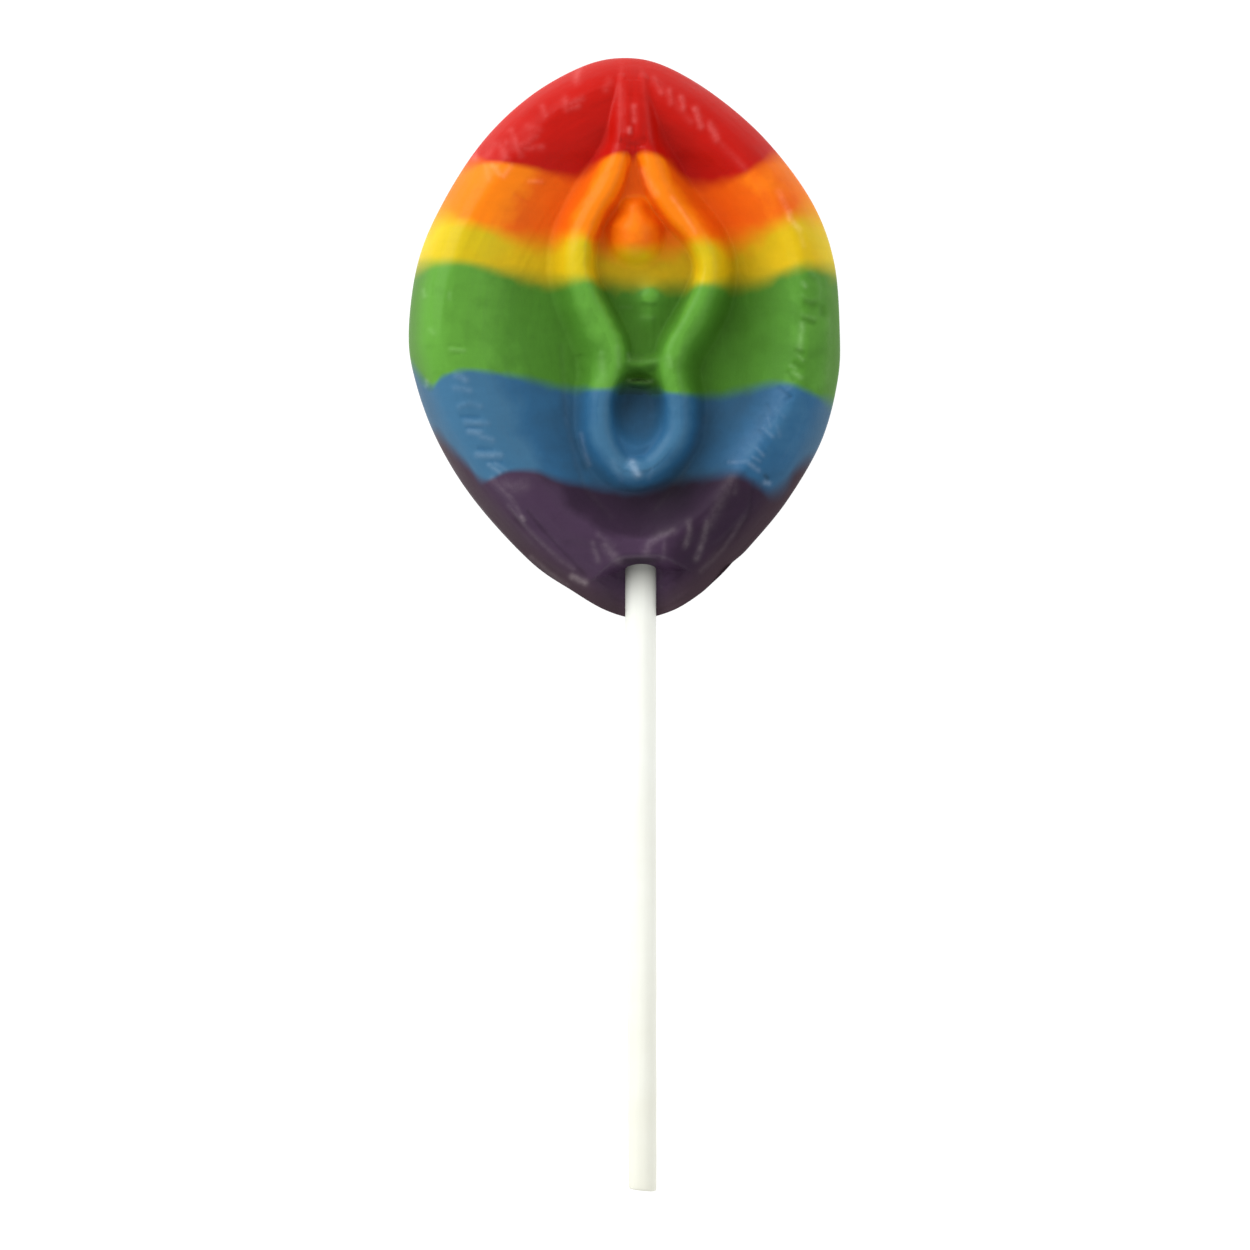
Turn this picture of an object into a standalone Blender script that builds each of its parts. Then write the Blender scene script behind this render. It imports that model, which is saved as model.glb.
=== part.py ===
"""A rainbow hard-candy lollipop in the shape of a vulva, lying on its flat back.

The head was cast in an open mould, one colour after another, so it is six layers of sugar that run
through its whole thickness, with a round stick set into the lower two. The frame has +Z out of the
relief, +Y towards the head's round end and its origin under the middle of the whole lollipop.

Sizes in the tables are millimetres; MM turns them into metres where points are placed.
"""

import math

import bmesh
import bpy
import numpy as np
from mathutils import Matrix, Vector

MM = 0.001

# ---- head: outline and edge -------------------------------------------------------------------
HEAD_CENTRE = (0.0, 38.0)
OUTLINE = (
    (0.0, 76.3), (-5.6, 75.2), (-12.7, 71.2), (-19.1, 65.1), (-24.4, 57.0), (-27.8, 49.0), (-29.1, 39.5),
    (-28.2, 32.8), (-25.2, 24.7), (-20.2, 16.7), (-12.8, 8.6), (-7.1, 4.6), (-2.4, 1.9), (1.9, 0.9),
    (6.3, 1.9), (10.1, 4.2), (12.2, 6.2), (13.4, 7.6), (14.8, 8.7), (16.8, 10.6), (21.8, 16.7), (26.4, 24.7),
    (28.6, 32.8), (28.9, 39.5), (28.1, 49.0), (25.1, 57.0), (19.1, 65.1), (12.2, 71.2), (5.4, 75.2))
RIM_HEIGHT = 4.6
BACK_BEVEL = 0.7

# Along the head: y, height of the outer ridge, width of its outer wall, roundness of that wall
# (1 is a straight ramp, 2 a quarter ellipse) and level of the valley inside the ridge.
BODY = (
    (0.0, 5.2, 9.0, 1.3, 4.6),
    (7.5, 8.4, 8.6, 1.4, 6.8),
    (10.5, 9.3, 8.4, 1.45, 7.4),
    (13.0, 10.2, 8.0, 1.5, 7.2),
    (22.0, 12.0, 7.0, 1.7, 7.3),
    (33.0, 13.0, 6.1, 1.9, 7.6),
    (46.0, 13.3, 5.6, 1.9, 7.6),
    (60.0, 12.5, 5.2, 1.9, 8.3),
    (64.0, 12.0, 5.0, 1.9, 9.5),
    (68.0, 11.4, 4.8, 1.9, 10.3),
    (72.0, 10.7, 4.6, 1.9, 10.3),
    (76.3, 8.8, 4.2, 1.9, 8.8))
# On the right the outer wall is wider by this much near the stick: y, extra width; and the valley is
# lower to the right by this share.
WALL_RIGHT = ((0.0, 0.0), (8.0, 0.0), (14.0, 1.0), (19.0, 1.9), (27.0, 0.8), (36.0, 0.0), (80.0, 0.0))
WALL_RIGHT_FADE = 8.0
VALLEY_LEAN = 0.05
RIDGE_EXTRA = 0.9
RIDGE_START = 0.7
RIDGE_SOFTNESS = 1.2

# The line round the folds where the inner slope of the outer ridge ends.
VALLEY = (
    (0.6, 71.6), (-1.8, 70.6), (-3.3, 68.6), (-4.8, 66.0), (-7.2, 60.0), (-9.9, 53.5), (-10.6, 46.5),
    (-9.4, 38.5), (-8.6, 30.5), (-7.4, 23.0), (-4.2, 17.2), (1.5, 14.6), (6.9, 17.6), (10.4, 24.0),
    (12.0, 31.0), (13.6, 38.5), (14.6, 46.5), (13.2, 53.5), (10.0, 60.0), (6.4, 66.0), (4.6, 68.6),
    (3.0, 70.6))
VALLEY_SOFTNESS = 1.6

# ---- folds and small forms ---------------------------------------------------------------------
# x, y, height of the crest and half width; a fold's half width is the one outside its crest.
FOLD_LEFT = (
    (-0.3, 73.0, 8.6, 1.4), (-0.4, 69.0, 10.9, 1.8), (-0.6, 65.0, 11.9, 2.2), (-1.3, 61.8, 12.4, 2.7),
    (-2.5, 58.6, 12.4, 3.2), (-4.4, 55.4, 12.3, 3.3), (-5.8, 51.6, 12.2, 3.6), (-6.1, 48.2, 12.1, 3.7),
    (-5.6, 45.4, 12.0, 3.7), (-4.7, 43.0, 12.0, 3.7), (-3.1, 39.9, 11.9, 4.0), (-1.8, 36.8, 11.8, 4.3),
    (-2.3, 33.6, 11.7, 3.7), (-3.5, 30.2, 11.5, 2.8), (-3.5, 26.0, 11.2, 2.7), (-2.2, 22.7, 10.8, 2.7),
    (-0.5, 20.9, 10.4, 2.5), (1.5, 20.5, 10.2, 2.4))
FOLD_RIGHT = (
    (2.4, 73.0, 8.6, 1.4), (2.6, 69.0, 10.9, 1.8), (3.0, 65.0, 11.9, 2.2), (3.7, 62.0, 12.4, 2.7),
    (4.9, 58.5, 12.4, 3.0), (6.9, 55.3, 12.3, 3.0), (10.1, 51.6, 12.2, 2.9), (11.3, 48.2, 12.1, 2.9),
    (10.7, 44.3, 12.0, 3.0), (9.0, 40.7, 11.9, 3.1), (7.1, 37.4, 11.8, 3.0), (6.4, 34.6, 11.7, 2.9),
    (6.8, 32.4, 11.6, 2.8), (7.4, 29.7, 11.4, 2.8), (7.2, 25.7, 11.1, 2.8), (5.4, 22.7, 10.7, 2.6),
    (3.5, 21.0, 10.4, 2.5), (1.5, 20.5, 10.2, 2.4))
HOOD = (
    (0.6, 76.2, 4.6, 1.8), (0.6, 74.4, 7.9, 1.9), (0.6, 72.4, 10.2, 1.9), (0.8, 70.0, 11.5, 2.1),
    (0.9, 68.0, 12.0, 2.1), (1.2, 65.2, 12.3, 2.0), (1.2, 64.2, 11.7, 1.6))
BEAD = ((1.35, 55.6, 10.5, 2.8), (1.4, 53.7, 11.3, 3.9), (1.4, 52.0, 11.2, 3.9))
BRIDGE = ((-3.0, 36.2, 11.1, 1.3), (1.9, 34.9, 10.2, 1.3), (7.0, 36.2, 11.1, 1.3))
LEDGE = ((0.6, 32.6, 7.5, 1.0), (2.2, 32.5, 7.9, 1.1), (3.9, 32.4, 7.5, 1.0))
HOOD_DROP, HOOD_SOFTNESS = 1.6, 2.0
FOLD_DROP = 3.6
FOLD_INSIDE_POWER = 3.0
# Along the head: y and half width of a fold inside its crest; then y and the widths over which a fold
# meets the outer ridge and the hollow between the folds.
FOLD_INSIDE = ((0.0, 2.4), (34.0, 2.6), (44.0, 2.5), (48.0, 2.0), (55.0, 2.0), (60.0, 2.2), (80.0, 2.2))
FOLD_SOFTNESS = (
    (0.0, 2.2, 2.0), (33.0, 2.2, 2.0), (38.0, 2.2, 2.4), (56.0, 2.2, 2.0), (64.0, 2.5, 1.4), (67.0, 3.0, 3.0),
    (80.0, 3.0, 3.0))
BRIDGE_DROP, BRIDGE_SOFTNESS = 2.0, 1.0
BEAD_DROP, BEAD_SOFTNESS = 3.2, 0.8
LEDGE_DROP, LEDGE_SOFTNESS = 3.0, 0.4

# The step over the stick: a line across the head, below which the front is a low skirt. The skirt is
# flat beside the stick (the flat's middle and half width) and rises outwards.
STEP_LINE = (
    (-14.0, 3.0), (-9.0, 3.9), (-4.6, 5.8), (-1.0, 7.2), (0.5, 7.55), (4.0, 7.6), (6.0, 7.3), (9.5, 7.0),
    (13.5, 6.0))
SKIRT_LEVEL = 3.2
SKIRT_RISE = 1.1
SKIRT_FLAT = (2.0, 2.6)
SKIRT_EASE = 1.2
STEP_STEEPNESS = 3.2
STEP_SOFTNESS = 1.4

# The hollow between the folds: y and level of its floor.
FLOOR = (
    (19.0, 9.6), (34.2, 9.2), (36.5, 9.2), (41.0, 8.6), (47.0, 8.4), (52.0, 8.2), (56.0, 8.7),
    (59.0, 9.7), (62.0, 10.4), (66.0, 11.0))
HOLLOW_TOP = 64.0

# The oval recess below the bridge: its middle, its half axes, and y and level of its floor.
OVAL_MIDDLE = (1.75, 28.6)
OVAL_HALF = (4.1, 6.1)
OVAL_FLOOR = ((20.0, 9.4), (24.0, 8.2), (28.0, 7.4), (30.5, 6.6), (33.0, 5.9), (36.0, 5.8))
OVAL_WALL, OVAL_POWER, OVAL_SOFTNESS = 6.0, 5.0, 1.0

# Two small bumps on the hollow's floor: x, y, height, size.
BUMPS = ((3.4, 44.2, 1.2, 1.3), (3.2, 41.2, 0.4, 0.9))

# ---- colour layers -------------------------------------------------------------------------------
# Where two layers meet on the relief, seen from the front, from left to right. On the back each
# joint is a shallow curve between the same two ends.
SEAMS = {
    "red_orange": (
        (-21.0, 61.9), (-16.7, 61.9), (-11.3, 60.9), (-7.2, 59.9), (-5.6, 60.4), (-4.1, 61.5), (-2.8, 62.4),
        (-1.2, 63.1), (0.3, 63.0), (1.0, 62.4), (1.7, 63.0), (2.7, 63.2), (4.4, 62.9), (5.8, 62.0),
        (7.6, 60.2), (10.0, 58.9), (15.3, 60.0), (18.3, 61.9), (20.7, 63.2)),
    "orange_yellow": (
        (-25.4, 54.5), (-21.7, 54.1), (-14.0, 51.5), (-10.0, 51.0), (-7.9, 51.9), (-5.9, 52.2),
        (-2.8, 50.2), (0.8, 50.3), (4.2, 50.3), (7.5, 50.8), (10.4, 51.5), (14.9, 51.0), (18.3, 52.6),
        (22.3, 54.5), (26.8, 55.1)),
    "yellow_green": (
        (-27.8, 48.5), (-21.4, 48.5), (-14.0, 46.8), (-10.6, 46.0), (-5.9, 46.4), (-2.6, 46.1),
        (0.5, 45.8), (3.5, 45.8), (10.9, 45.7), (17.6, 46.1), (21.7, 47.5), (24.1, 48.1), (28.2, 47.5)),
    "green_blue": (
        (-28.5, 34.7), (-26.1, 32.0), (-24.1, 33.4), (-20.3, 34.1), (-12.6, 32.8), (-8.2, 31.7),
        (-1.9, 31.6), (0.8, 31.9), (5.2, 31.2), (11.6, 30.7), (15.6, 31.3), (18.7, 32.1), (21.7, 32.3),
        (24.3, 31.3), (28.1, 29.6)),
    "blue_purple": (
        (-25.2, 25.8), (-21.4, 21.8), (-19.0, 19.4), (-15.6, 20.6), (-12.0, 20.6), (-8.6, 19.4),
        (-3.2, 18.4), (1.2, 17.9), (4.2, 18.6), (7.3, 19.4), (11.6, 19.9), (14.9, 20.3), (17.4, 19.1),
        (19.4, 17.8), (21.4, 18.8), (22.7, 20.7), (24.7, 22.3)),
}
BACK_SAG = 2.0
LAYER_GAP = 0.36
LAYER_COLOURS = {
    "red": (207, 41, 30),
    "orange": (240, 120, 20),
    "yellow": (214, 186, 30),
    "green": (86, 140, 50),
    "blue": (58, 98, 128),
    "purple": (70, 54, 72),
}
CUTTER_REACH = 34.0
CUTTER_TOP = 82.0
CUTTER_BOTTOM = -6.0
CUTTER_BACK = -3.0
CUTTER_RISE = 8.0
CUTTER_COLUMNS = 27
CUTTER_ROWS = 3

# ---- stick ---------------------------------------------------------------------------------------
STICK_LENGTH = 101.6
STICK_RADIUS_HEAD = 2.15
STICK_RADIUS_FREE = 1.88
STICK_HEIGHT = 3.0
STICK_FREE_END = (2.37, -76.26)
STICK_HEAD_X = 2.05
STICK_EDGE = 0.25
STICK_SIDES = 32
BORE_GAP = 0.3
BORE_OVERRUN = 8.0
STICK_COLOUR = (240, 238, 226)
DRILLED = ("blue", "purple")

# ---- fineness of the surface --------------------------------------------------------------------
COLUMNS = 46
ROWS = 50
# The surface's lines crowd at the folds and at the rim: share of the lines, share of the way out.
CROWDING_ACROSS = ((0.0, 0.0), (0.55, 0.40), (0.74, 0.80), (1.0, 1.0))
CROWDING_ALONG = ((0.0, 0.0), (0.6, 0.60), (0.78, 0.82), (1.0, 1.0))
CURVE_STEPS = 6
OUTLINE_STEPS = 16
SMOOTH_ANGLE = math.radians(40)


def linear_colour(srgb):
    """The shader's colour for one given as 8-bit sRGB."""
    channels = []
    for value in srgb:
        part = value / 255
        channels.append(part / 12.92 if part <= 0.04045 else ((part + 0.055) / 1.055) ** 2.4)
    return (*channels, 1.0)


def smooth_line(points, steps=CURVE_STEPS, closed=False):
    """Rows along a smooth curve through the given ones, with their further columns carried along."""
    rows = np.asarray(points, float)
    count = len(rows)
    line = []
    for i in range(count if closed else count - 1):
        if closed:
            a, b, c, d = rows[i - 1], rows[i], rows[(i + 1) % count], rows[(i + 2) % count]
        else:
            a, b, c, d = rows[max(i - 1, 0)], rows[i], rows[i + 1], rows[min(i + 2, count - 1)]
        for step in range(steps):
            t = step / steps
            square = 2 * a - 5 * b + 4 * c - d
            cube = 3 * b - a - 3 * c + d
            line.append(0.5 * (2 * b + (c - a) * t + square * t ** 2 + cube * t ** 3))
    if not closed:
        line.append(rows[-1])
    return np.array(line)


def nearest(x, y, line, closed=False):
    """The distance to a line, and the line's further columns at the nearest place."""
    best = np.full(x.shape, np.inf)
    carried = [np.zeros(x.shape) for column in range(line.shape[1] - 2)]
    for i in range(len(line) if closed else len(line) - 1):
        start = line[i]
        span = line[(i + 1) % len(line)] - start
        along = (x - start[0]) * span[0] + (y - start[1]) * span[1]
        t = np.clip(along / (span[0] ** 2 + span[1] ** 2 + 1e-12), 0, 1)
        gap = np.hypot(x - start[0] - t * span[0], y - start[1] - t * span[1])
        closer = gap < best
        best = np.where(closer, gap, best)
        for k, values in enumerate(carried):
            carried[k] = np.where(closer, start[k + 2] + t * span[k + 2], values)
    return [best] + carried


def inside(x, y, loop):
    """Whether each place lies inside a closed loop."""
    hit = np.zeros(x.shape, bool)
    for i in range(len(loop)):
        x0, y0 = loop[i - 1][:2]
        x1, y1 = loop[i][:2]
        if y0 != y1:
            crosses = (y0 > y) != (y1 > y)
            hit ^= crosses & (x < x0 + (y - y0) * (x1 - x0) / (y1 - y0))
    return hit


def read_table(place, rows, column):
    """A column of a table, read smoothly at a place along its first column."""
    line = smooth_line(rows)
    return np.interp(place, line[:, 0], line[:, column])


def join_high(a, b, softness):
    """The higher of two surfaces, with their crease filled over a width."""
    share = np.clip(0.5 + 0.5 * (a - b) / softness, 0, 1)
    return b + (a - b) * share + softness * share * (1 - share)


def join_low(a, b, softness):
    """The lower of two surfaces, with their edge rounded over a width."""
    return -join_high(-a, -b, softness)


def roll(x, y, points, drop):
    """A rounded roll along a path: it falls by drop at its half width."""
    gap, height, half = nearest(x, y, smooth_line(points))
    return height - drop * (gap / half) ** 2


def fold(x, y, points, between):
    """A fold: a roll with a flatter crest and a steeper foot on the side of the hollow."""
    gap, height, half = nearest(x, y, smooth_line(points))
    inward = (gap / read_table(y, FOLD_INSIDE, 1)) ** FOLD_INSIDE_POWER
    return height - FOLD_DROP * np.where(between, inward, (gap / half) ** 2)


def outer_ridge(x, y):
    """The thick outer ridge: a rounded wall up from the rim, then a slope down to the valley."""
    edge = nearest(x, y, smooth_line(OUTLINE, CURVE_STEPS, True), True)[0]
    crest, wall, roundness, valley = [read_table(y, BODY, column) for column in range(1, 5)]
    wall = wall + read_table(y, WALL_RIGHT, 1) * np.clip(x / WALL_RIGHT_FADE, 0, 1)
    valley = valley - VALLEY_LEAN * x
    climb = 1 - np.clip(edge / wall, 0, 1)
    outer = RIM_HEIGHT + (crest - RIM_HEIGHT) * (1 - climb ** roundness) ** (1 / roundness)
    foot_line = smooth_line(VALLEY, CURVE_STEPS, True)
    foot = np.where(inside(x, y, foot_line), -1, 1) * nearest(x, y, foot_line, True)[0]
    run = np.clip(edge - RIDGE_START * wall, 0, None)
    fall = run / np.maximum(run + foot, 1)
    inner = join_high(valley + (crest + RIDGE_EXTRA - valley) * (1 - fall), valley, VALLEY_SOFTNESS)
    return join_low(outer, inner, RIDGE_SOFTNESS)


def oval_bowl(x, y):
    """The oval recess: a floor that rises towards the stick, with steep walls."""
    reach = np.hypot((x - OVAL_MIDDLE[0]) / OVAL_HALF[0], (y - OVAL_MIDDLE[1]) / OVAL_HALF[1])
    return read_table(y, OVAL_FLOOR, 1) + OVAL_WALL * reach ** OVAL_POWER


def low_skirt(x, y):
    """The low skirt round the stick, and the steep step up to the relief."""
    foot = read_table(x, STEP_LINE, 1)
    out = np.clip(np.abs(x - SKIRT_FLAT[0]) - SKIRT_FLAT[1], 0, None)
    rise = SKIRT_RISE * out ** 2 / (out + SKIRT_EASE)
    return SKIRT_LEVEL + rise + STEP_STEEPNESS * np.clip(y - foot, 0, None)


def relief(x, y):
    """Height of the front at each place of the plan."""
    between = inside(x, y, np.vstack([smooth_line(FOLD_LEFT), smooth_line(FOLD_RIGHT)[::-1]]))
    front = np.where(between & (y < HOLLOW_TOP), read_table(y, FLOOR, 1), outer_ridge(x, y))
    softness = np.where(between, read_table(y, FOLD_SOFTNESS, 2), read_table(y, FOLD_SOFTNESS, 1))
    front = join_high(front, roll(x, y, HOOD, HOOD_DROP), HOOD_SOFTNESS)
    front = join_high(front, fold(x, y, FOLD_LEFT, between), softness)
    front = join_high(front, fold(x, y, FOLD_RIGHT, between), softness)
    front = join_high(front, roll(x, y, BRIDGE, BRIDGE_DROP), BRIDGE_SOFTNESS)
    front = join_low(front, oval_bowl(x, y), OVAL_SOFTNESS)
    front = join_high(front, roll(x, y, BEAD, BEAD_DROP), BEAD_SOFTNESS)
    front = join_high(front, roll(x, y, LEDGE, LEDGE_DROP), LEDGE_SOFTNESS)
    front = join_low(front, low_skirt(x, y), STEP_SOFTNESS)
    for bump_x, bump_y, height, size in BUMPS:
        front = front + height * np.exp(-((x - bump_x) ** 2 + (y - bump_y) ** 2) / (2 * size ** 2))
    return front


def place_in_outline(across, along):
    """Plan positions for places in a square from -1 to 1: the square's edge becomes the outline."""
    across = np.sign(across) * read_table(np.abs(across), CROWDING_ACROSS, 1)
    along = np.sign(along) * read_table(np.abs(along), CROWDING_ALONG, 1)
    round_x = across * np.sqrt(1 - along ** 2 / 2)
    round_y = along * np.sqrt(1 - across ** 2 / 2)
    line = smooth_line(OUTLINE, OUTLINE_STEPS, True) - HEAD_CENTRE
    bearings = np.arctan2(line[:, 1], line[:, 0])
    bearing = np.arctan2(round_y, round_x)
    reach = np.interp(bearing, bearings, np.hypot(line[:, 0], line[:, 1]), period=2 * math.pi)
    radius = np.hypot(round_x, round_y) * reach
    return HEAD_CENTRE[0] + radius * np.cos(bearing), HEAD_CENTRE[1] + radius * np.sin(bearing)


def finish_mesh(bm, name):
    """A mesh in metres, its faces pointing outwards, from closed work in millimetres."""
    bmesh.ops.recalc_face_normals(bm, faces=bm.faces)
    if bm.calc_volume(signed=True) < 0:
        bmesh.ops.reverse_faces(bm, faces=bm.faces)
    bmesh.ops.scale(bm, vec=(MM, MM, MM), verts=bm.verts)
    mesh = bpy.data.meshes.new(name)
    bm.to_mesh(mesh)
    bm.free()
    return mesh


def make_head():
    """The whole head as one closed mesh."""
    bm = bmesh.new()
    bmesh.ops.create_grid(bm, x_segments=COLUMNS, y_segments=ROWS, size=1.0)
    square = np.array([vertex.co[:2] for vertex in bm.verts])
    x, y = place_in_outline(square[:, 0], square[:, 1])
    for vertex, place in zip(bm.verts, zip(x, y, relief(x, y))):
        vertex.co = place
    edge = [e for e in bm.edges if e.is_boundary]
    centre = Vector((*HEAD_CENTRE, 0.0))
    for level, inset in ((BACK_BEVEL, 0.0), (0.0, BACK_BEVEL)):
        grown = bmesh.ops.extrude_edge_only(bm, edges=edge)["geom"]
        edge = [item for item in grown if isinstance(item, bmesh.types.BMEdge) and item.is_boundary]
        for vertex in [item for item in grown if isinstance(item, bmesh.types.BMVert)]:
            arm = Vector((vertex.co.x, vertex.co.y, 0.0)) - centre
            vertex.co = centre + arm * (1 - inset / arm.length)
            vertex.co.z = level
    bmesh.ops.edgeloop_fill(bm, edges=edge)
    return finish_mesh(bm, "head")


def joint_surface(seam, x, row):
    """Where each row of the surface between two layers lies: below the back, on it, on the front, above."""
    line = smooth_line(SEAMS[seam])
    on_front = np.interp(x, line[:, 0], line[:, 1])
    ends = line[[0, -1]]
    middle, half = ends[:, 0].mean(), np.ptp(ends[:, 0]) / 2
    sag = BACK_SAG * np.clip(1 - ((x - middle) / half) ** 2, 0, None)
    on_back = np.interp(x, ends[:, 0], ends[:, 1]) - sag
    front_level = relief(x, on_front)
    y = np.where(row < 2, on_back, on_front)
    back_level = np.full(x.shape, CUTTER_BACK)
    z = np.choose(row, [back_level, np.zeros(x.shape), front_level, front_level + CUTTER_RISE])
    return y, z


def make_layer_cutter(name, upper, lower, cutters):
    """A slab between two joints; a missing joint leaves that side past the end of the head."""
    bm = bmesh.new()
    bmesh.ops.create_grid(bm, x_segments=CUTTER_COLUMNS, y_segments=CUTTER_ROWS, size=1.0)
    bmesh.ops.triangulate(bm, faces=bm.faces, quad_method="FIXED")
    grown = bmesh.ops.extrude_face_region(bm, geom=list(bm.faces))["geom"]
    high_side = [item for item in grown if isinstance(item, bmesh.types.BMVert)]
    bmesh.ops.translate(bm, vec=(0.0, 0.0, 1.0), verts=high_side)
    across, up, side = np.array([vertex.co for vertex in bm.verts]).T
    x = across * CUTTER_REACH
    row = np.rint((up + 1) / 2 * CUTTER_ROWS).astype(int)
    low = joint_surface(lower or upper, x, row)
    high = joint_surface(upper or lower, x, row)
    low_y = low[0] + LAYER_GAP / 2 if lower else np.full(x.shape, CUTTER_BOTTOM)
    high_y = high[0] - LAYER_GAP / 2 if upper else np.full(x.shape, CUTTER_TOP)
    y = np.where(side > 0.5, high_y, low_y)
    z = np.where(side > 0.5, high[1], low[1])
    for vertex, place in zip(bm.verts, zip(x, y, z)):
        vertex.co = place
    return add_cutter(bpy.data.objects.new(name, finish_mesh(bm, name)), cutters)


def add_cutter(cutter, cutters):
    """File an object with the guides, which are not part of the lollipop."""
    for collection in list(cutter.users_collection):
        collection.objects.unlink(cutter)
    cutters.objects.link(cutter)
    cutter.hide_render = True
    cutter.display_type = "WIRE"
    return cutter


def add_boolean(piece, cutter, operation):
    """Cut a piece with a cutter, or keep what the two share."""
    modifier = piece.modifiers.new(cutter.name, "BOOLEAN")
    modifier.operation = operation
    modifier.solver = "EXACT"
    modifier.object = cutter


def make_material(name, colour, roughness, coat=0.0):
    """A plain shader of one colour."""
    material = bpy.data.materials.new(name)
    material.use_nodes = True
    shader = material.node_tree.nodes["Principled BSDF"]
    shader.inputs["Base Color"].default_value = linear_colour(colour)
    shader.inputs["Roughness"].default_value = roughness
    shader.inputs["Metallic"].default_value = 0.0
    shader.inputs["Coat Weight"].default_value = coat
    material.diffuse_color = linear_colour(colour)
    return material


def stick_frame(start, end):
    """Where a rod between two plan positions at the stick's height lies: its matrix and length."""
    low = Vector((*start, STICK_HEIGHT)) * MM
    high = Vector((*end, STICK_HEIGHT)) * MM
    turn = (high - low).to_track_quat("Z", "Y").to_matrix().to_4x4()
    return Matrix.Translation((low + high) / 2) @ turn, (high - low).length


def stick_x(y):
    """The stick's middle at a place along it: it leans a little as it leaves the head."""
    head_end = STICK_FREE_END[1] + STICK_LENGTH
    return np.interp(y, (STICK_FREE_END[1], head_end), (STICK_FREE_END[0], STICK_HEAD_X))


def make_stick(parts):
    """The round stick, slightly thinner at its free end."""
    head_end = STICK_FREE_END[1] + STICK_LENGTH
    place, length = stick_frame((stick_x(head_end), head_end), STICK_FREE_END)
    bpy.ops.mesh.primitive_cone_add(
        vertices=STICK_SIDES, radius1=STICK_RADIUS_HEAD * MM, radius2=STICK_RADIUS_FREE * MM, depth=length)
    stick = bpy.context.object
    stick.name = "stick"
    stick.data.name = "stick"
    stick.matrix_world = place
    for collection in list(stick.users_collection):
        collection.objects.unlink(stick)
    parts.objects.link(stick)
    bevel = stick.modifiers.new("worn ends", "BEVEL")
    bevel.width = STICK_EDGE * MM
    bevel.segments = 2
    bevel.limit_method = "ANGLE"
    bevel.angle_limit = SMOOTH_ANGLE
    stick.data.shade_smooth()
    stick.data.set_sharp_from_angle(angle=SMOOTH_ANGLE)
    stick.data.materials.append(make_material("stick", STICK_COLOUR, 0.6))
    return stick


def make_bore(cutters):
    """The round hole that the stick sits in, open at the pointed end of the head."""
    head_end = STICK_FREE_END[1] + STICK_LENGTH + BORE_GAP
    place, length = stick_frame((stick_x(head_end), head_end), (stick_x(-BORE_OVERRUN), -BORE_OVERRUN))
    radius = (STICK_RADIUS_HEAD + BORE_GAP) * MM
    bpy.ops.mesh.primitive_cylinder_add(vertices=STICK_SIDES, radius=radius, depth=length)
    bore = bpy.context.object
    bore.name = "stick_bore"
    bore.matrix_world = place
    return add_cutter(bore, cutters)


def make_layers(parts, cutters):
    """The six poured layers, from the round end to the stick."""
    head = make_head()
    bore = make_bore(cutters)
    colours = list(LAYER_COLOURS)
    for i, colour in enumerate(colours):
        upper = colours[i - 1] + "_" + colour if i else None
        lower = colour + "_" + colours[i + 1] if i + 1 < len(colours) else None
        layer = bpy.data.objects.new("layer_" + colour, head.copy())
        layer.data.name = layer.name
        parts.objects.link(layer)
        if colour in DRILLED:
            add_boolean(layer, bore, "DIFFERENCE")
        add_boolean(layer, make_layer_cutter("slab_" + colour, upper, lower, cutters), "INTERSECT")
        layer.data.shade_smooth()
        layer.data.set_sharp_from_angle(angle=SMOOTH_ANGLE)
        layer.data.materials.append(make_material("candy_" + colour, LAYER_COLOURS[colour], 0.28, 0.3))
    bpy.data.meshes.remove(head)


def main():
    for item in list(bpy.data.objects):
        bpy.data.objects.remove(item, do_unlink=True)
    parts = bpy.data.collections.new("rainbow_lollipop")
    cutters = bpy.data.collections.new("cutters")
    for collection in (parts, cutters):
        bpy.context.scene.collection.children.link(collection)
    make_layers(parts, cutters)
    make_stick(parts)


main()
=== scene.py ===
"""A rainbow hard-candy lollipop in the shape of a vulva, lying on its back in a soft white studio.

The head is six poured layers of sugar and the stick is rolled paper. Tables are in millimetres, and
MM turns them into metres where points are placed.
"""

import math

import bpy
import numpy as np
from bpy.props import FloatProperty, FloatVectorProperty, PointerProperty
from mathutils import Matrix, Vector


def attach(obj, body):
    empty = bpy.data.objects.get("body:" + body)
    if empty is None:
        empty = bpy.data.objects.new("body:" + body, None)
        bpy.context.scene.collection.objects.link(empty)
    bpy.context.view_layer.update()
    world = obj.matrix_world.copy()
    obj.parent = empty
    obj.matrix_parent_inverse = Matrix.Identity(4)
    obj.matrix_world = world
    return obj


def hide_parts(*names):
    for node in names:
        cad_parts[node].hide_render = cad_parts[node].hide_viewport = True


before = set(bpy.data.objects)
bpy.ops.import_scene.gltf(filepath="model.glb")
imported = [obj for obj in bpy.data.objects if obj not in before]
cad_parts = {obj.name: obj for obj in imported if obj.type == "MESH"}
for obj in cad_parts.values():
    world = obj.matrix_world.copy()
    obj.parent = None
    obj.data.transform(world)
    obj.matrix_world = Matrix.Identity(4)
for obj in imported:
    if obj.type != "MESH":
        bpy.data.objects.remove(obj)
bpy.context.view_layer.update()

bl_info = {
    "name": "Rainbow lollipop",
    "version": (1, 0, 0),
    "blender": (4, 5, 0),
    "location": "3D View > Sidebar > Lollipop",
    "description": "Builds the candy layers, the paper stick and a soft white studio",
    "category": "Object",
}

MM = 0.001

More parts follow.
